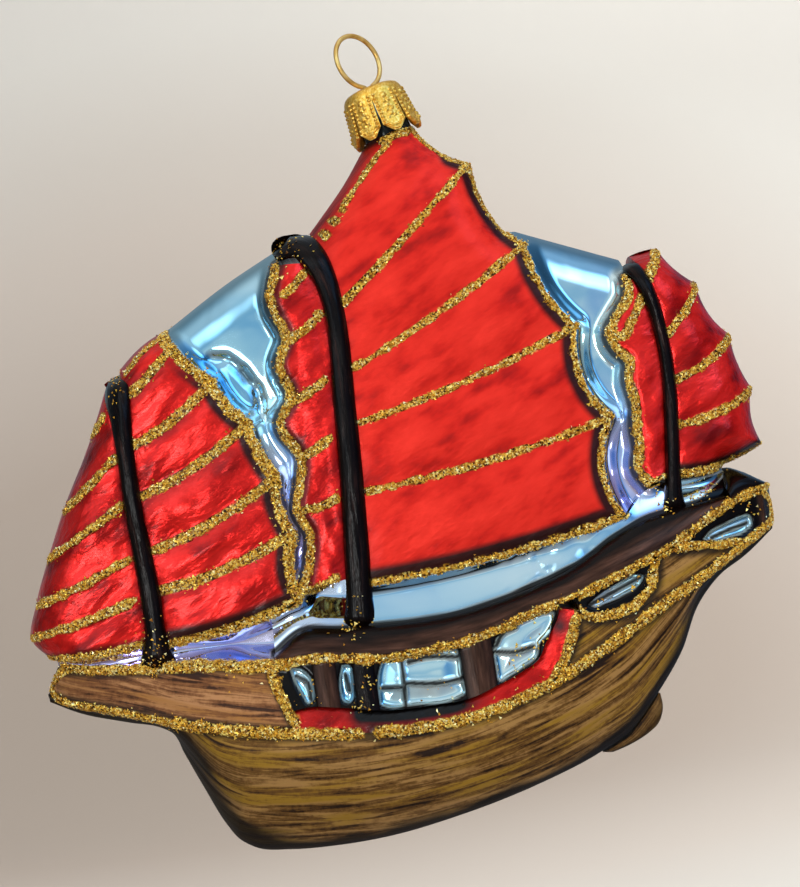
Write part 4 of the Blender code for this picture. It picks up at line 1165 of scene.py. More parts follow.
def run_uv(spots):
    """Map coordinates along and across a band: its length, and the height above its foot."""
    step = np.linalg.norm(np.diff(spots, axis=0), axis=-1).mean(1)
    length = np.concatenate(([0.0], np.cumsum(step)))[:, None] * np.ones(spots.shape[:2])
    height_ = np.linalg.norm(spots - spots[:, :1], axis=-1)
    return np.stack((length, height_), -1) / 10.0


def grained(spots, seed):
    """Plank lines pressed along a band."""
    return GRAIN_HEIGHT * noise(run_uv(spots) * 10, GRAIN, seed)


def dressed(name, node, paint, spots, half, shade=0.0, lilac=0.0, uv=None):
    """A field of the hull in its lacquer, in the place of its node."""
    finish, slot_name = PAINTS[paint]
    made = skin(name, spots, half, finish, run_uv(spots) if uv is None else uv, shade, lilac)
    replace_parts(made, node)


def banded(spots, share, low_column):
    """Half breadth of a band, straight from one line's (at share 0) to the next line's."""
    x = spots[..., 0]
    return breadth(x, low_column) * (1 - share) + breadth(x, low_column + 1) * share


print("paints of the hull:", *PAINTS)

# %% Hull below the lower line
BILGE, STEEPNESS = 13.0, 2.2        # how far the bottom rounds in from the keel, and how soon
PLUMB = 0.35                        # share of the height above which the side stands up
KEEL_SHARE = 0.55                   # how much the planks follow the keel, not the lower line
STEM_END, STEM_REACH = -20.0, 16.0  # where the dark of the stem ends, and over what length


def hull_planks():
    """The lower line's breadth times a rounding: over the distance from the keel's outline low
    down, and over the share of the way up higher. Black blotches follow the keel and the stem, a
    painted shade where the hull turns away."""
    up = shares(60) ** 1.5
    spots = ruled(KEEL, LOWER_LINE, straight(-63.9, 57.3), 300, up)
    x = spots[..., 0]
    keel_gap = distance(spots, thin(KEEL))
    steep = np.sqrt(1 - (1 - up) ** STEEPNESS)
    rounded = np.sqrt(1 - (1 - np.clip(keel_gap / BILGE, 0, 1)) ** 2)
    upper = rise(up, PLUMB, 1 - PLUMB)
    half = breadth(x, 1) * (np.minimum(rounded, steep) * (1 - upper) + steep * upper)
    sheer = np.stack((x, spots[..., 1] - KEEL_SHARE * read(KEEL, x)
                      - (1 - KEEL_SHARE) * read(LOWER_LINE, x)), -1)
    half += 0.10 * noise(sheer, GRAIN, 81) * np.clip(half / 3, 0, 1)
    # Painted shade: black blotches along the keel and the stem, where the hull turns away; and a
    # dark line under the lower line.
    stem = soft_step((STEM_END - x) / STEM_REACH)
    blotches = 1.8 * noise(sheer, (4.5, 2.2), 82) * (0.4 + 0.6 * stem)
    shade = np.maximum(0.94 * fade(keel_gap + blotches, 1.8 + 1.6 * stem, 2.2 + 1.5 * stem),
                       0.8 * fade(distance(spots, LOWER_LINE), 0.9, 0.9))
    dressed("hull_planks", "hull", "planks", spots, half, shade, uv=sheer / 10)


hull_planks()
print("hull skins:", len(SKINS))

# %% Bow and rail
NOSE_X, NOSE_REACH = -64.0, 5.0
RAIL_ROUND = 1.2                    # how far the rail stands out, a half-round
MAST_PLACE, MAST_FLARE = -11.4, 5.0  # where the main mast's black runs over the rail


def bow_planks():
    """Straight from line to line, and rounded by a quarter ellipse over the first 5 mm."""
    share = shares(24)
    spots = ruled(LOWER_LINE, BOW_TOP, ((-63.8, -60.9), (-37.4, -37.4), (-22.8, -25.2)), 120, share)
    half = banded(spots, share, 1) - 0.35 * fade(distance(spots, BOW_TOP), 0.0, 1.6)
    nose = np.clip((spots[..., 0] - NOSE_X) / NOSE_REACH, 0, 1)
    half = half * np.sqrt(1 - (1 - nose) ** 2) ** 0.5 + grained(spots, 83)
    aft_end = np.array(((-26.0, -98.6), (-23.4, -107.6)))
    shade = 0.85 * fade(distance(spots, BOW_TOP, LOWER_LINE, aft_end), 0.9, 0.8)
    dressed("bow_planks", "bow_panel", "rust", spots, half, shade)


def rail_round(share):
    """How far the rail stands out: 1.2 mm times sin(pi share)^0.6."""
    return RAIL_ROUND * np.sin(np.pi * share) ** 0.6


def wale():
    """The rail: brown along its middle, black above, below and where the mast comes down: black
    paint, and along the top and bottom edges also a painted shade where the round rail turns away.
    """
    share = shares(24)
    spots = ruled(RAIL_LOW, RAIL_TOP, straight(-25.3, 49.5), 190, share)
    x = spots[..., 0]
    # Black paint on the rail's top, and painted shade darkening both edges of the round rail.
    top_dark = rise(share + 0.08 * noise(spots, (9.0, 9.0), 87), 0.52, 0.22)
    flare = np.exp(-((x - MAST_PLACE) / MAST_FLARE) ** 2) * rise(share, 0.15, 0.5)
    shade = np.maximum.reduce((0.97 * top_dark, 0.97 * flare,
                               0.8 * fade(share, 0.1, 0.12) * np.ones(x.shape)))
    dressed("wale", "rail", "wale", spots, banded(spots, share, 2) + rail_round(share), shade)


def poop_top():
    """The wale's after end, rounded over by sqrt(1 - share^4) into its black top."""
    share = shares(24)
    spots = ruled(RAIL_LOW, POOP_TOP, ((49.5, 48.7), (57.3, 57.1)), 40, share)
    half = (banded(spots, share, 2) + rail_round(share)) * np.sqrt(1 - share ** 4)
    dressed("poop_top", "poop", "wale", spots, half, 0.97 * rise(share, 0.05, 0.2))


for build in (bow_planks, wale, poop_top):
    build()
print("with bow and rail:", len(SKINS))

# %% [markdown]
# ## Deckhouse and ports
# The panes are bare mirror, and all that frames them is painted dark. A pane is a closed curve:
# its distance to a spot, counted positive inside, tells both the paint where to stop and the
# glass how far to sink. Glazing bars are low ridges across a pane.

# %% Panes
PANES = {
    "window_1": ((-22.9, -99.1), (-21.4, -99.4), (-20.0, -101.2), (-19.8, -102.6),
                 (-20.1, -104.4), (-20.8, -104.8), (-21.7, -103.2), (-22.6, -100.9)),
    "window_2": ((-14.9, -99.7), (-13.9, -99.8), (-13.6, -100.9), (-13.7, -103.4),
                 (-13.9, -104.9), (-14.5, -105.5), (-15.4, -105.1), (-15.7, -103.6),
                 (-15.5, -101.6)),
    "window_3": ((-8.2, -99.3), (-2.7, -99.8), (1.6, -99.5), (2.9, -99.8), (3.2, -101.2),
                 (3.1, -103.6), (3.2, -106.6), (2.2, -107.0), (-5.3, -107.1), (-8.6, -107.0),
                 (-9.7, -106.4), (-9.8, -104.6), (-9.3, -101.4)),
    "window_4": ((9.4, -98.9), (11.7, -97.6), (14.6, -96.6), (17.5, -96.0), (18.6, -96.2),
                 (18.7, -97.2), (17.6, -99.1), (15.8, -100.6), (15.2, -102.4), (12.7, -103.8),
                 (10.6, -104.8), (9.0, -105.4), (8.7, -103.2), (8.8, -100.4)),
    "quarter_window": ((24.4, -95.8), (26.0, -94.8), (29.0, -93.5), (32.4, -92.5),
                       (33.5, -92.8), (32.8, -93.8), (29.8, -95.2), (26.9, -96.0),
                       (25.1, -96.3)),
    "stern_window": ((44.0, -88.6), (45.2, -87.6), (48.1, -86.7), (51.0, -86.0), (52.2, -86.1),
                     (52.3, -87.6), (51.0, -88.5), (47.7, -89.0), (45.6, -89.2)),
}
BARS = (     # points of a glazing bar, how far it stands out
    (((-9.2, -104.0), (-6.3, -104.2)), 0.3), (((-5.3, -103.7), (-1.5, -104.3), (3.0, -104.3)), 0.4),
    (((-5.7, -99.5), (-5.7, -102.1), (-6.0, -107.0)), 0.35),
    (((-4.7, -100.7), (-2.5, -100.3), (2.8, -100.8)), 0.35),
    (((8.9, -100.9), (11.8, -101.3), (14.9, -100.9)), 0.4),
    (((9.2, -100.0), (10.5, -98.3), (12.6, -97.7)), 0.35),
    (((-22.2, -100.4), (-20.6, -101.6), (-20.4, -104.2)), 0.35),
    (((-14.6, -101.2), (-14.3, -103.6)), 0.4),
    (((24.6, -95.9), (29.0, -94.3), (33.0, -92.9)), 0.35),
    (((45.4, -88.6), (48.0, -87.9), (51.6, -87.2)), 0.3),
)
PANE_DEPTH, PANE_CROWN = 1.0, 0.35
BAR_WIDTH, BAR_DARK = 0.42, 0.36     # how far a bar's ridge and its dark line, a painted reflection, reach


def pane_gap(spots, outline):
    """Signed distance to a closed curve: positive inside, by counting crossings to the right."""
    closed = smooth(tuple(outline) + (outline[0],), 0.3)
    x, z = spots[..., 0].ravel(), spots[..., 1].ravel()
    first, after = closed[:-1], closed[1:]
    above = (first[:, 1] > z[:, None]) != (after[:, 1] > z[:, None])
    climb = np.where(first[:, 1] == after[:, 1], 1e-9, after[:, 1] - first[:, 1])
    cross = first[:, 0] + (z[:, None] - first[:, 1]) / climb * (after[:, 0] - first[:, 0])
    inside = (above & (cross > x[:, None])).sum(1) % 2 == 1
    return np.where(inside.reshape(spots.shape[:-1]), 1, -1) * distance(spots, closed)


def pane(spots, half, node):
    """The half thickness with a pane sunk in it, slightly domed, with its glazing bars, the
    black paint round the pane, and dark along the bars, a painted reflection of their ridges."""
    gap = pane_gap(spots, PANES[node])
    half = half - PANE_DEPTH * rise(gap, -0.5, 1.1) + PANE_CROWN * rise(gap, 0.7, 2.2)
    shade = 1 - soft_step(gap / 0.35 + 0.4)
    for points, stand in BARS:
        near = distance(spots, smooth(points, 0.4))
        half = half + stand * np.exp(-(near / BAR_WIDTH) ** 2) * soft_step(gap / 0.6)
        # Painted reflection: a dark line along each bar, as its ridge shows in the mirror.
        line = np.exp(-(near / BAR_DARK) ** 2)
        shade = np.maximum(shade, 0.97 * np.clip(1.6 * line, 0, 1))
    return half + 0.05 * noise(spots, (2.0, 1.5), 91, 0.2), shade


print("panes:", len(PANES), "bars:", len(BARS))

# %% Deckhouse
FIELDS = (   # name, node, paint, spans below and above
    ("house_window_1", "window_1", "mirror", ((-23.7, -25.8), (-21.5, -22.8), (-19.6, -19.6))),
    ("house_post_1", "post_1", "post", ((-19.6, -19.6), (-15.9, -15.9))),
    ("house_window_2", "window_2", "mirror", ((-15.9, -15.9), (-13.4, -13.4))),
    ("mast_step", "mast_foot", "black", ((-13.4, -13.4), (-10.0, -10.0))),
    ("house_window_3", "window_3", "mirror", ((-10.0, -10.0), (3.5, 3.5))),
    ("house_post_2", "post_2", "post", ((3.5, 3.5), (8.5, 8.5))),
    ("house_window_4", "window_4", "mirror", ((8.5, 8.5), (17.4, 19.6))),
)
FIELD_STEP = 0.24                    # spacing of a field's columns


def house_field(name, node, paint, spans):
    """A window, or a post that rounds out by a sine over its width."""
    share = shares(34)
    table = np.array(spans)
    width = table[-1].mean() - table[0].mean()
    spots = ruled(SILL_TOP, RAIL_LOW, spans, max(14, int(width / FIELD_STEP)), share)
    half = banded(spots, share, 1)
    if paint == "mirror":
        half, shade = pane(spots, half, node)
        dressed(name, node, paint, spots, half, shade)
        return
    w = shares(spots.shape[0]).T
    half = half + 0.45 * np.sin(np.pi * w) ** 0.7 - 0.1
    edges = 0.9 * np.abs(2 * w - 1) ** 3 * np.ones(half.shape) * (paint == "post")
    dressed(name, node, paint, spots, half, edges, uv=run_uv(spots)[..., ::-1])


def red_sill():
    """The red below the panes, darkened under the large one, at the mast and in its corner."""
    share = shares(16)
    low = np.concatenate((LOWER_LINE[LOWER_LINE[:, 0] < 16.4], DECKHOUSE_END[2:]))
    spots = ruled(low, SILL_TOP, ((-23.2, -23.8), (8.4, 8.4), (17.3, 16.5), (22.6, 19.6)), 160,
                  share)
    half = banded(spots, share, 1) + 0.3 * np.sin(np.pi * share) ** 0.7
    x, z = spots[..., 0], spots[..., 1]
    under_panes = rise(x, -17.0, 4.0) * fade(x, 1.0, 9.0)
    body = 0.3 * fade(x, 3.0, 8.0) + under_panes * (0.2 + 0.6 * soft_step(share * 1.5))
    upper_edge = 0.9 * rise(share, 0.75, 0.25) * fade(x, 4.0, 5.0)
    corner = 0.9 * np.exp(-((x - 19.3) / 1.5) ** 2 - ((z + 98.4) / 1.5) ** 2)
    at_mast = 0.9 * np.exp(-((x + 11.6) / 2.4) ** 2)
    dressed("red_sill", "sill", "red", spots, half,
            np.maximum.reduce((body, upper_edge, corner, at_mast)))


for row in FIELDS:
    house_field(*row)
red_sill()
print("deckhouse fields:", len(FIELDS) + 1)

# %% Quarter and stern
QUARTER_TOP = np.concatenate((QUARTER_RIM[1:], [(36.6, -89.8)], STERN_LINE, [(53.2, -90.0)]))
STERN_SPLIT, STERN_RIB = 53.0, 54.6
PORTS = (    # name, node, low line, span
    ("quarter_port", "quarter_window", QUARTER_RIM, (22.8, 35.5)),
    ("stern_port", "stern_window", np.concatenate((STERN_LINE, [(53.2, -90.0)])),
     (39.0, STERN_SPLIT)),
)
RUDDER = smooth(((34.9, -113.4, 35.3, -113.5), (33.5, -114.9, 35.4, -115.6),
                 (31.6, -116.9, 34.5, -118.0), (29.1, -119.3, 32.3, -119.7),
                 (26.6, -120.6, 29.6, -120.9), (24.6, -121.6, 26.4, -121.9)), 0.3)
RUDDER_HALF = 2.4


def quarter_planks():
    """Straight from line to line, with black round the ports' rims and along the foot."""
    share = shares(26)
    spots = ruled(LOWER_LINE, QUARTER_TOP,
                  ((17.6, 22.8), (32.4, 32.6), (STERN_SPLIT, STERN_SPLIT)), 130, share)
    half = banded(spots, share * 0.8, 1) + grained(spots, 85)
    framed = distance(spots, thin(DECKHOUSE_END), thin(QUARTER_RIM), thin(STERN_LINE))
    shade = np.maximum(0.9 * fade(framed, 1.0, 1.2),
                       0.8 * fade(distance(spots, LOWER_LINE), 0.9, 0.7))
    dressed("quarter_planks", "quarter_panel", "planks", spots, half, shade)


def port(name, node, low, span):
    """A pane between its own low line and the rail, almost in the rail's plane."""
    share = shares(26)
    spots = ruled(low, RAIL_LOW, straight(*span), 66, share)
    half, shade = pane(spots, banded(spots, 0.75 + 0.25 * share, 1), node)
    dressed(name, node, "mirror", spots, half, shade)


def stern_corner():
    """The upright corner post: black, with a brown rib that is a painted highlight down the post."""
    share = shares(24)
    spots = ruled(LOWER_LINE, RAIL_LOW, straight(STERN_SPLIT, 57.3), 40, share)
    from_rib = spots[..., 0] - STERN_RIB
    half = banded(spots, share, 1) + 0.5 * np.exp(-(from_rib / 0.7) ** 2)
    # Painted highlight: brown down the rib, black paint elsewhere.
    dressed("stern_corner", "stern_post", "post", spots, half,
            1 - 0.8 * np.exp(-(from_rib / 0.6) ** 2), uv=run_uv(spots)[..., ::-1])


def rudder_lobe():
    """Half thickness r sqrt(1 - t^2.4) across the lobe, eased to its ends by the fourth power."""
    t = crowded(18, False)[None, :]
    spots = RUDDER[:, None, :2] * (1 - t[..., None]) + RUDDER[:, None, 2:] * t[..., None]
    w = shares(len(spots)).T
    half = RUDDER_HALF * np.sqrt(1 - t ** 2.4) * np.sqrt(1 - (2 * w - 1) ** 4 * 0.9)
    dressed("rudder_lobe", "rudder", "planks", spots, half, 0.25 + 0.5 * t)


quarter_planks()
for row in PORTS:
    port(*row)
stern_corner()
rudder_lobe()
print("stern fields:", len(PORTS) + 3)

# %% Decks of bare glass
DECKS = (   # name, node, low line, high line, spans, column of the breadth below, lilac, black
            # aft, and how far up it swells out to the rail
    ("fore_deck_glass", "fore_deck", BOW_TOP, fore_foot_left, straight(-60.7, -45.0),
     2, 0.9, 0, 3.0),
    ("bow_deck_glass", "bow_deck", BOW_TOP, FORE_FOOT, straight(-43.0, -24.4), 2, 0.65, 0, 3.0),
    ("waist_glass", "waist_deck", RAIL_TOP, WAIST_TOP, straight(-25.2, -12.0), 3, 0.35, 0, 5.0),
    ("low_glass", "low_web", RAIL_TOP, np.concatenate((MAIN_FOOT[:-1], AFT_DECK_TOP)),
     ((-10.0, -9.0), (40.8, 40.8)), 3, 0.1, 0, 9.0),
    ("stern_deck_glass", "stern_deck", RAIL_TOP, MIZZEN_FOOT, ((40.6, 41.2), (50.0, 50.0)),
     3, 0.1, 1, 4.0),
)
DECK_STEP = 0.45                     # spacing of a deck's columns
CRACKLE = 0.16                       # crinkles in the silvering aft of the main mast


def deck(name, node, low, high, spans, column, lilac, black, swell):
    """Mirror from a line of the hull up to a sail's foot, with the rail's black run over its
    lower edge. The stern's deck is black at both ends, and only the low web's is crinkled."""
    share = shares(26)
    spots = ruled(low, high, spans, int((spans[-1][0] - spans[0][0]) / DECK_STEP), share)
    x = spots[..., 0]
    # Painted shade: black under the mizzen's foot, where the sail's underside is in shade; the black
    # at the after end is paint.
    aft = black * np.maximum(rise(share, 0.72, 0.12),
                             soft_step((0.62 * (x - 43.0) / 6.0 - share) / 0.1))
    rail_gap = distance(spots, RAIL_TOP) + 0.25 * noise(spots, (4.0, 4.0), 95)
    half = mirror_half(spots, low, column, swell)
    if node == "low_web":
        crinkled = CRACKLE * rise(x, 9.0, 6.0) * fade(x, 27.0, 5.0)
        half += crinkled * noise(spots, (2.2, 1.0), 96, 0.6)
        # Painted reflection: more lilac sheen towards the low web's after end.
        lilac = lilac + 0.5 * rise(x, 30.0, 8.0)
    dressed(name, node, "mirror", spots, half,
            np.maximum(aft, 0.97 * fade(rail_gap, 0.45, 0.35)), lilac)


for row in DECKS:
    deck(*row)
print("decks:", len(DECKS))

# %% [markdown]
# ## Glitter
# A flake of glitter is a scrap of metallised film a third of a millimetre across. Tens of
# thousands of them lie in the glue, each at its own tilt, and strays stick beside the lines and
# at the feet of the masts. Each is a very flat four-sided stone here, so that it is a closed
# mesh, keeps a glint and stays light. Flakes are drawn over the cells of each skin, in
# proportion to a cell's true area and glue.

# %% Glitter film
FLAKES_PER_MM2, STRAYS_PER_MM2 = 19.0, 0.3
FLAKE_SIZE, FLAKE_PEAK, TILT = 0.22, 0.09, 0.5        # reach and height in mm, tilt
FLAKE_POINTS = np.array(((1, 0, 0), (-0.5, 0.87, 0), (-0.5, -0.87, 0), (0, 0, 1)))
FLAKE_FACES = np.array(((0, 2, 1), (0, 1, 3), (1, 2, 3), (2, 0, 3)))
SPRINKLES = np.array((      # x, z, reach in mm, flakes per mm2
    (-44.0, -95.2, 2.6, 3.0), (-43.9, -90.0, 1.6, 1.5), (-44.6, -53.0, 1.8, 1.0),
    (-14.6, -33.6, 2.6, 1.6), (-44.9, -50.0, 1.6, 1.6),
    (-12.9, -94.3, 1.6, 3.0), (-11.6, -91.5, 1.6, 1.2), (-13.2, -106.6, 1.2, 5.0),
    (-11.6, -103.0, 2.0, 1.5), (-20.6, -103.6, 2.2, 0.7), (12.5, -103.6, 2.2, 1.4),
    (14.8, -101.2, 1.6, 1.2), (39.0, -82.0, 1.6, 3.0), (43.0, -82.4, 0.6, 9.0),
    (44.4, -82.0, 0.6, 9.0), (45.8, -81.6, 0.6, 9.0), (47.0, -81.0, 0.6, 6.0),
    (53.0, -85.0, 1.0, 3.0), (33.0, -94.4, 1.4, 1.2), (26.0, -96.6, 1.2, 1.2),
    (0.0, -106.6, 3.0, 0.3), (-30.0, -100.0, 3.0, 0.2)))

glitter_gold, tree, shader = material("gold_glitter_film", Roughness=0.3, Metallic=0.55)
tone_in = add(tree, "Attribute", attribute_name="tone")
tone = ramp(tree, tone_in.outputs["Fac"],
            ((0.0, "#3A2006"), (0.15, "#955C12"), (0.4, "#DC9C26"), (0.7, "#F8C84C"),
             (0.88, "#FFE88C"), (1.0, "#FFF9C8")))
tree.links.new(tone, shader.inputs["Base Color"])
print("sprinkled places:", len(SPRINKLES))

# %% Flakes
def flakes(name, skins, seed):
    """Random cells, spots in them, and a turned and tilted stone on each spot."""
    chance = np.random.default_rng(seed)
    places, normals = [], []
    for _, co, bed in skins:
        for sheet in co:
            a, b = sheet[:-1, :-1], sheet[1:, :-1]
            c, d = sheet[1:, 1:], sheet[:-1, 1:]
            square = np.cross(c - a, d - b)
            area = np.linalg.norm(square, axis=-1) / 2
            glue_here = (bed[:-1, :-1] + bed[1:, 1:] + bed[1:, :-1] + bed[:-1, 1:]) / 4
            want = FLAKES_PER_MM2 * np.clip(glue_here * 3.0, 0, 1)
            want += STRAYS_PER_MM2 * ((glue_here > -0.8) & (glue_here <= 0))
            gap2 = ((a[..., (0, 2)][..., None, :] - SPRINKLES[:, :2]) ** 2).sum(-1)
            want += (SPRINKLES[:, 3] * np.exp(-gap2 / SPRINKLES[:, 2] ** 2)).sum(-1)
            number = chance.poisson(want * area)
            picked = np.repeat(np.arange(number.size), number.ravel())
            u, v = chance.uniform(0, 1, (2, len(picked), 1))
            corner = [p.reshape(-1, 3)[picked] for p in (a, d, b, c)]
            spot = ((corner[0] * (1 - u) + corner[1] * u) * (1 - v)
                    + (corner[2] * (1 - u) + corner[3] * u) * v)
            out = (square / np.maximum(area[..., None] * 2, 1e-9)).reshape(-1, 3)[picked]
            out = out * np.where((out[:, 1:2] * spot[:, 1:2]) < 0, -1.0, 1.0)
            places.append(spot)
            normals.append(out)
    place, normal = np.concatenate(places), np.concatenate(normals)
    count = len(place)
    normal = normal + chance.normal(0, TILT, (count, 3))
    normal /= np.linalg.norm(normal, axis=1)[:, None]
    side = np.cross(normal, chance.normal(0, 1, (count, 3)))
    side /= np.linalg.norm(side, axis=1)[:, None]
    other = np.cross(normal, side)
    size = FLAKE_SIZE * np.exp(chance.normal(0, 0.25, (count, 1)))
    axes = np.stack((side * size * chance.uniform(0.8, 1.2, (count, 1)), other * size,
                     normal * FLAKE_PEAK * chance.uniform(0.5, 1.5, (count, 1))), 1)
    lift = place + normal * chance.uniform(-0.02, 0.15, (count, 1))
    co = (lift[:, None] + FLAKE_POINTS @ axes).reshape(-1, 3)
    faces = (FLAKE_FACES[None] + 4 * np.arange(count)[:, None, None]).reshape(-1, 3)
    mesh = bpy.data.meshes.new(name)
    mesh.from_pydata((co * MM).tolist(), [], faces.tolist())
    layer = mesh.attributes.new("tone", "FLOAT", "POINT")
    layer.data.foreach_set("value", np.repeat(chance.beta(1.5, 1.3, count), 4).astype(np.float32))
    mesh.materials.append(glitter_gold)
    made = linked(name, mesh)
    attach(made, "glass")
    return count


GROUPS = (
    ("glitter_main", ("main_sail_cloth", "main_luff_cloth")),
    ("glitter_fore", ("fore_sail_cloth", "fore_luff_cloth", "fore_sky")),
    ("glitter_aft", ("mizzen_sail_cloth", "mizzen_luff_cloth", "aft_sky")),
    ("glitter_low", ("hull_planks", "bow_planks", "red_sill", "quarter_planks")),
)
listed = {n for _, names in GROUPS for n in names}
for seed, (name, names) in enumerate(GROUPS):
    count = flakes(name, [s for s in SKINS if s[0] in names], seed)
    print(name, "flakes:", count)
print("glitter_deck flakes:", flakes("glitter_deck", [s for s in SKINS if s[0] not in listed], 9))

# %% [markdown]
# ## Crown, wire and neck
# The crown is stamped from thin sheet: a dome with a hole, and a skirt slit into eight pointed
# petals. The stamp leaves rows of beads beside each slit, a little bunch of lumps down each
# petal and bars along its point. It is a surface over the angle and the way down, with the
# stamp's relief pushed outwards, and an inner skin one sheet thickness behind it.

# %% Stamp of the crown
CROWN_WALL, PETALS, CROWN_PHASE = 0.32, 8, math.radians(-6.0)
SLIT_TOP, TIP = 11.6, 17.6
SLIT_WIDE, PETAL_POINT, FLAT_TIP = 0.04, 1.45, 0.25
CROWN_PROFILE = np.array(((9.10, 1.5), (9.10, 3.2), (9.18, 3.9), (9.5, 4.5), (10.0, 4.85),
                          (11.2, 5.1), (12.2, 5.2), (13.4, 5.32), (14.8, 5.45), (16.2, 5.6),
                          (17.6, 5.75)))

brass, tree, shader = material("pressed_gold_sheet", Roughness=0.34, Metallic=0.7)
pits = speckle(tree, object_place(tree), Scale=2600.0, Detail=3.0)
tree.links.new(ramp(tree, pits, ((0.3, "#D09028"), (0.5, "#F2B846"), (0.7, "#FFD878"))),
               shader.inputs["Base Color"])
ripple = add(tree, "Bump", {"Strength": 0.5, "Distance": 0.0001}, {"Height": pits})
tree.links.new(ripple.outputs["Normal"], shader.inputs["Normal"])


def dome(gap, reach):
    """A round bump: sqrt(1 - (gap / reach)^2) inside its reach."""
    return np.sqrt(np.clip(1 - (gap / reach) ** 2, 0, 1))


def stamped(across, down, half_width, tip_line):
    """Relief of a petal in mm: beads beside its slits, lumps down its middle, bars at its tip."""
    pitch, first = 0.66, 10.9
    row = np.clip(np.round((down - first) / pitch), 0, 8)
    gap = np.hypot(np.abs(across) - (half_width - 0.45), down - first - row * pitch)
    beads = dome(gap, 0.26)
    lumps = np.zeros(across.shape)
    for centre, side, reach in ((11.5, 0.0, 0.5), (12.4, 0.42, 0.34), (12.5, -0.42, 0.34),
                                (13.2, 0.0, 0.36), (13.9, 0.46, 0.36), (14.0, -0.46, 0.36),
                                (14.7, 0.0, 0.42), (15.2, 0.55, 0.26), (15.2, -0.55, 0.26)):
        lumps = np.maximum(lumps, reach * dome(np.hypot(across - side, down - centre), reach))
    edge = tip_line - down
    bars = np.maximum(dome(edge - 0.35, 0.2), 0.8 * dome(edge - 0.85, 0.18)) * (
        np.abs(across) < half_width - 0.25)
    return 0.28 * beads + 0.55 * lumps + 0.2 * bars


print("petals:", PETALS)

# %% Crown
def crown(columns=37, rows=84):
    """Each petal: radius(down) + relief outside, radius - wall inside; its foot is drawn up by
    a straight taper towards both corners."""
    line = along(smooth(CROWN_PROFILE, 0.1), np.linspace(0, 1, rows))
    down, radius = line[:, :1], line[:, 1:]
    c = np.linspace(-1, 1, columns)[None]
    part = np.clip((down - SLIT_TOP) / (TIP - SLIT_TOP), 0, 1)
    corner = np.clip((np.abs(c) - FLAT_TIP) / (1 - FLAT_TIP), 0, 1)
    points, faces, offset = [], [], 0
    for petal in range(PETALS):
        half_angle = math.pi / PETALS - SLIT_WIDE * np.sqrt(part)
        angle = CROWN_PHASE + 2 * math.pi * (petal + 0.5) / PETALS + c * half_angle
        tip_line = TIP - PETAL_POINT * corner + 0 * down
        lowered = down - PETAL_POINT * corner * part
        across = c * half_angle * radius
        relief = stamped(across, lowered, half_angle * radius, tip_line) * (down > 9.9)
        relief += 0.12 * (1 - c ** 2) * part
        for depth in (0.0, CROWN_WALL):
            r = radius + (relief if depth == 0.0 else -depth)
            r = np.where(down < 9.3, radius, r) * np.ones(c.shape)
            sunk = lowered + (depth if depth else 0.0) * (down < 9.7)
            flat = neck_point((sunk * np.ones(c.shape)).ravel(), (r * np.cos(angle)).ravel())
            points.append(np.stack((flat[:, 0], (r * np.sin(angle)).ravel(), flat[:, 1]), 1))
        index = np.arange(rows * columns).reshape(rows, columns) + offset
        sheet = grid_quads(index)
        inner = rows * columns
        slit = int(np.argmax(line[:, 0] > SLIT_TOP)) - 1
        edge = np.concatenate((index[slit:, 0], index[-1, 1:], index[-2:slit - 1:-1, -1]))
        wall = np.stack((edge[:-1], edge[1:], edge[1:] + inner, edge[:-1] + inner), 1)
        top = np.stack((index[0, :-1], index[0, 1:], index[0, 1:] + inner,
                        index[0, :-1] + inner), 1)
        faces += [sheet, sheet[:, ::-1] + inner, wall, top[:, ::-1]]
        offset += 2 * rows * columns
    return mesh_object("crown_cap_pressed", np.concatenate(points), np.concatenate(faces), brass,
                       "crown", sharp=40.0)


def mend(piece, merge=0.0):
    """Merges points that fall together, and turns all faces outwards."""
    data = bmesh.new()
    data.from_mesh(piece.data)
    if merge:
        bmesh.ops.remove_doubles(data, verts=data.verts, dist=merge)
    bmesh.ops.recalc_face_normals(data, faces=data.faces)
    data.to_mesh(piece.data)
    data.free()


crown_piece = crown()
mend(crown_piece, 2e-6)
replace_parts(crown_piece, "crown_cap")
print("crown faces:", len(crown_piece.data.polygons))

# %% Wire ring and legs
RING_RADIUS, WIRE_RADIUS, STRAND_OFFSET = 4.5, 0.4, 0.55
RING_CENTRE = RING_RADIUS - WIRE_RADIUS
RING_TURN = math.radians(42.0)

wire_gold, tree, shader = material("gold_spring_wire", Roughness=0.3, Metallic=0.6)
patina = speckle(tree, object_place(tree), Scale=500.0, Detail=2.0)
tree.links.new(ramp(tree, patina, ((0.3, "#C8903C"), (0.7, "#F2CC7C"))),
               shader.inputs["Base Color"])


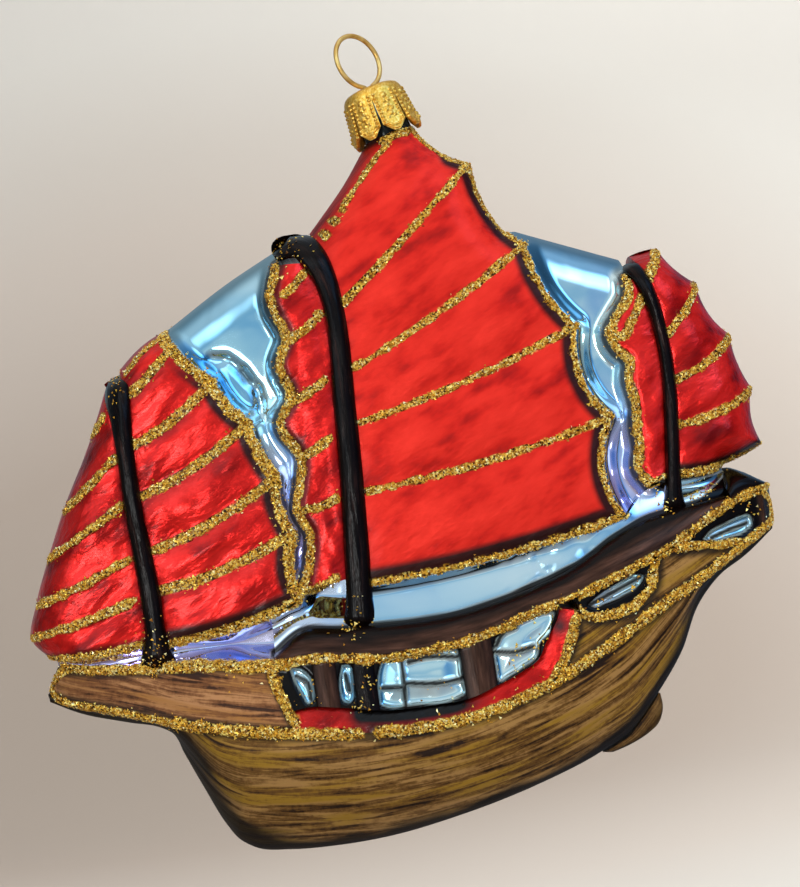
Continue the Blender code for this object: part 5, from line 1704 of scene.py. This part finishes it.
def tube(name, path, radius, finish, body, sides=16):
    """A round wire: circles square to a path that lies in one plane, and a fan at each end."""
    run = np.gradient(path, axis=0)
    run /= np.linalg.norm(run, axis=1)[:, None]
    flat = np.cross(path[5] - path[0], path[len(path) // 2] - path[0])
    flat /= np.linalg.norm(flat)
    beside = np.cross(run, flat)
    a = np.linspace(0, 2 * np.pi, sides, endpoint=False)[None, :, None]
    rings = path[:, None] + radius * (np.cos(a) * beside[:, None] + np.sin(a) * flat)
    co = np.concatenate((rings.reshape(-1, 3), path[:1], path[-1:]))
    count = len(path)
    index = np.arange(count * sides).reshape(count, sides)
    over = np.roll(index, -1, axis=1)
    faces = np.stack((index[:-1], over[:-1], over[1:], index[1:]), -1).reshape(-1, 4)
    first, last = count * sides, count * sides + 1
    fans = np.concatenate((np.stack((np.full(sides, first), over[0], index[0]), 1),
                           np.stack((np.full(sides, last), index[-1], over[-1]), 1)))
    mesh = bpy.data.meshes.new(name)
    mesh.from_pydata((co * MM).tolist(), [], faces.tolist() + fans.tolist())
    mesh.materials.append(finish)
    mesh.shade_smooth()
    made = linked(name, mesh)
    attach(made, body)
    return made


leg = [(-2.6, 16.6), (-2.3, 14.6), (-1.5, 12.0), (-0.75, 10.6), (-STRAND_OFFSET, 9.7),
       (-STRAND_OFFSET, 9.2), (-0.8, 8.7)]
start = math.radians(20)
turns = np.linspace(start, 2 * math.pi - start, 33)
ring = list(zip(-RING_RADIUS * np.sin(turns), RING_CENTRE + RING_RADIUS * np.cos(turns)))
flat_path = smooth(leg + ring + [(-a, d) for a, d in reversed(leg)], 0.25)
plane_side = np.array((SIDE[0] * math.cos(RING_TURN), math.sin(RING_TURN),
                       SIDE[1] * math.cos(RING_TURN)))
plane_down = np.array((DOWN[0], 0.0, DOWN[1]))
wire_path = flat_path[:, :1] * plane_side + flat_path[:, 1:] * plane_down
wire = tube("wire_ring_and_legs", wire_path, WIRE_RADIUS, wire_gold, "hanger")
mend(wire)
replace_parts(wire, "wire_loop")
print("wire points:", len(wire_path))

# %% Glass neck
NECK_PROFILE = np.array(((9.9, 3.45), (9.78, 3.7), (9.9, 3.98), (10.3, 4.05), (13.0, 4.05),
                         (15.0, 4.05), (17.9, 4.05), (17.9, 3.45)))
line = np.concatenate((smooth(NECK_PROFILE[:4], 0.15), NECK_PROFILE[4:]))
sides = 72
angle = np.linspace(0, 2 * np.pi, sides, endpoint=False)[None]
down, radius = line[:, :1] * np.ones((1, sides)), line[:, 1:] * np.ones((1, sides))
flat = neck_point(down.ravel(), (radius * np.cos(angle)).ravel())
co = np.stack((flat[:, 0], (radius * np.sin(angle)).ravel(), flat[:, 1]), 1)
index = np.arange(co.shape[0]).reshape(len(line), sides)
over, below = np.roll(index, -1, axis=1), np.roll(index, -1, axis=0)
faces = np.stack((index, over, np.roll(below, -1, axis=1), below), -1).reshape(-1, 4)
neck_shades = {"shade": 0.97 * soft_step((down.ravel() - 12.5) / 1.5), "glue": 0 * down.ravel(),
               "lilac": 0 * down.ravel()}
neck_piece = mesh_object("glass_neck", co, faces, mirror, "glass", shades=neck_shades)
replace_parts(neck_piece, "neck")
print("neck faces:", len(neck_piece.data.polygons))

# %% Sizes, and the last line
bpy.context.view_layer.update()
triangles = sum(sum(len(p.vertices) - 2 for p in o.data.polygons)
                for o in bpy.data.objects if o.type == "MESH" and o.name != "pale_sheet")
print("triangles, with the frame's:", triangles)
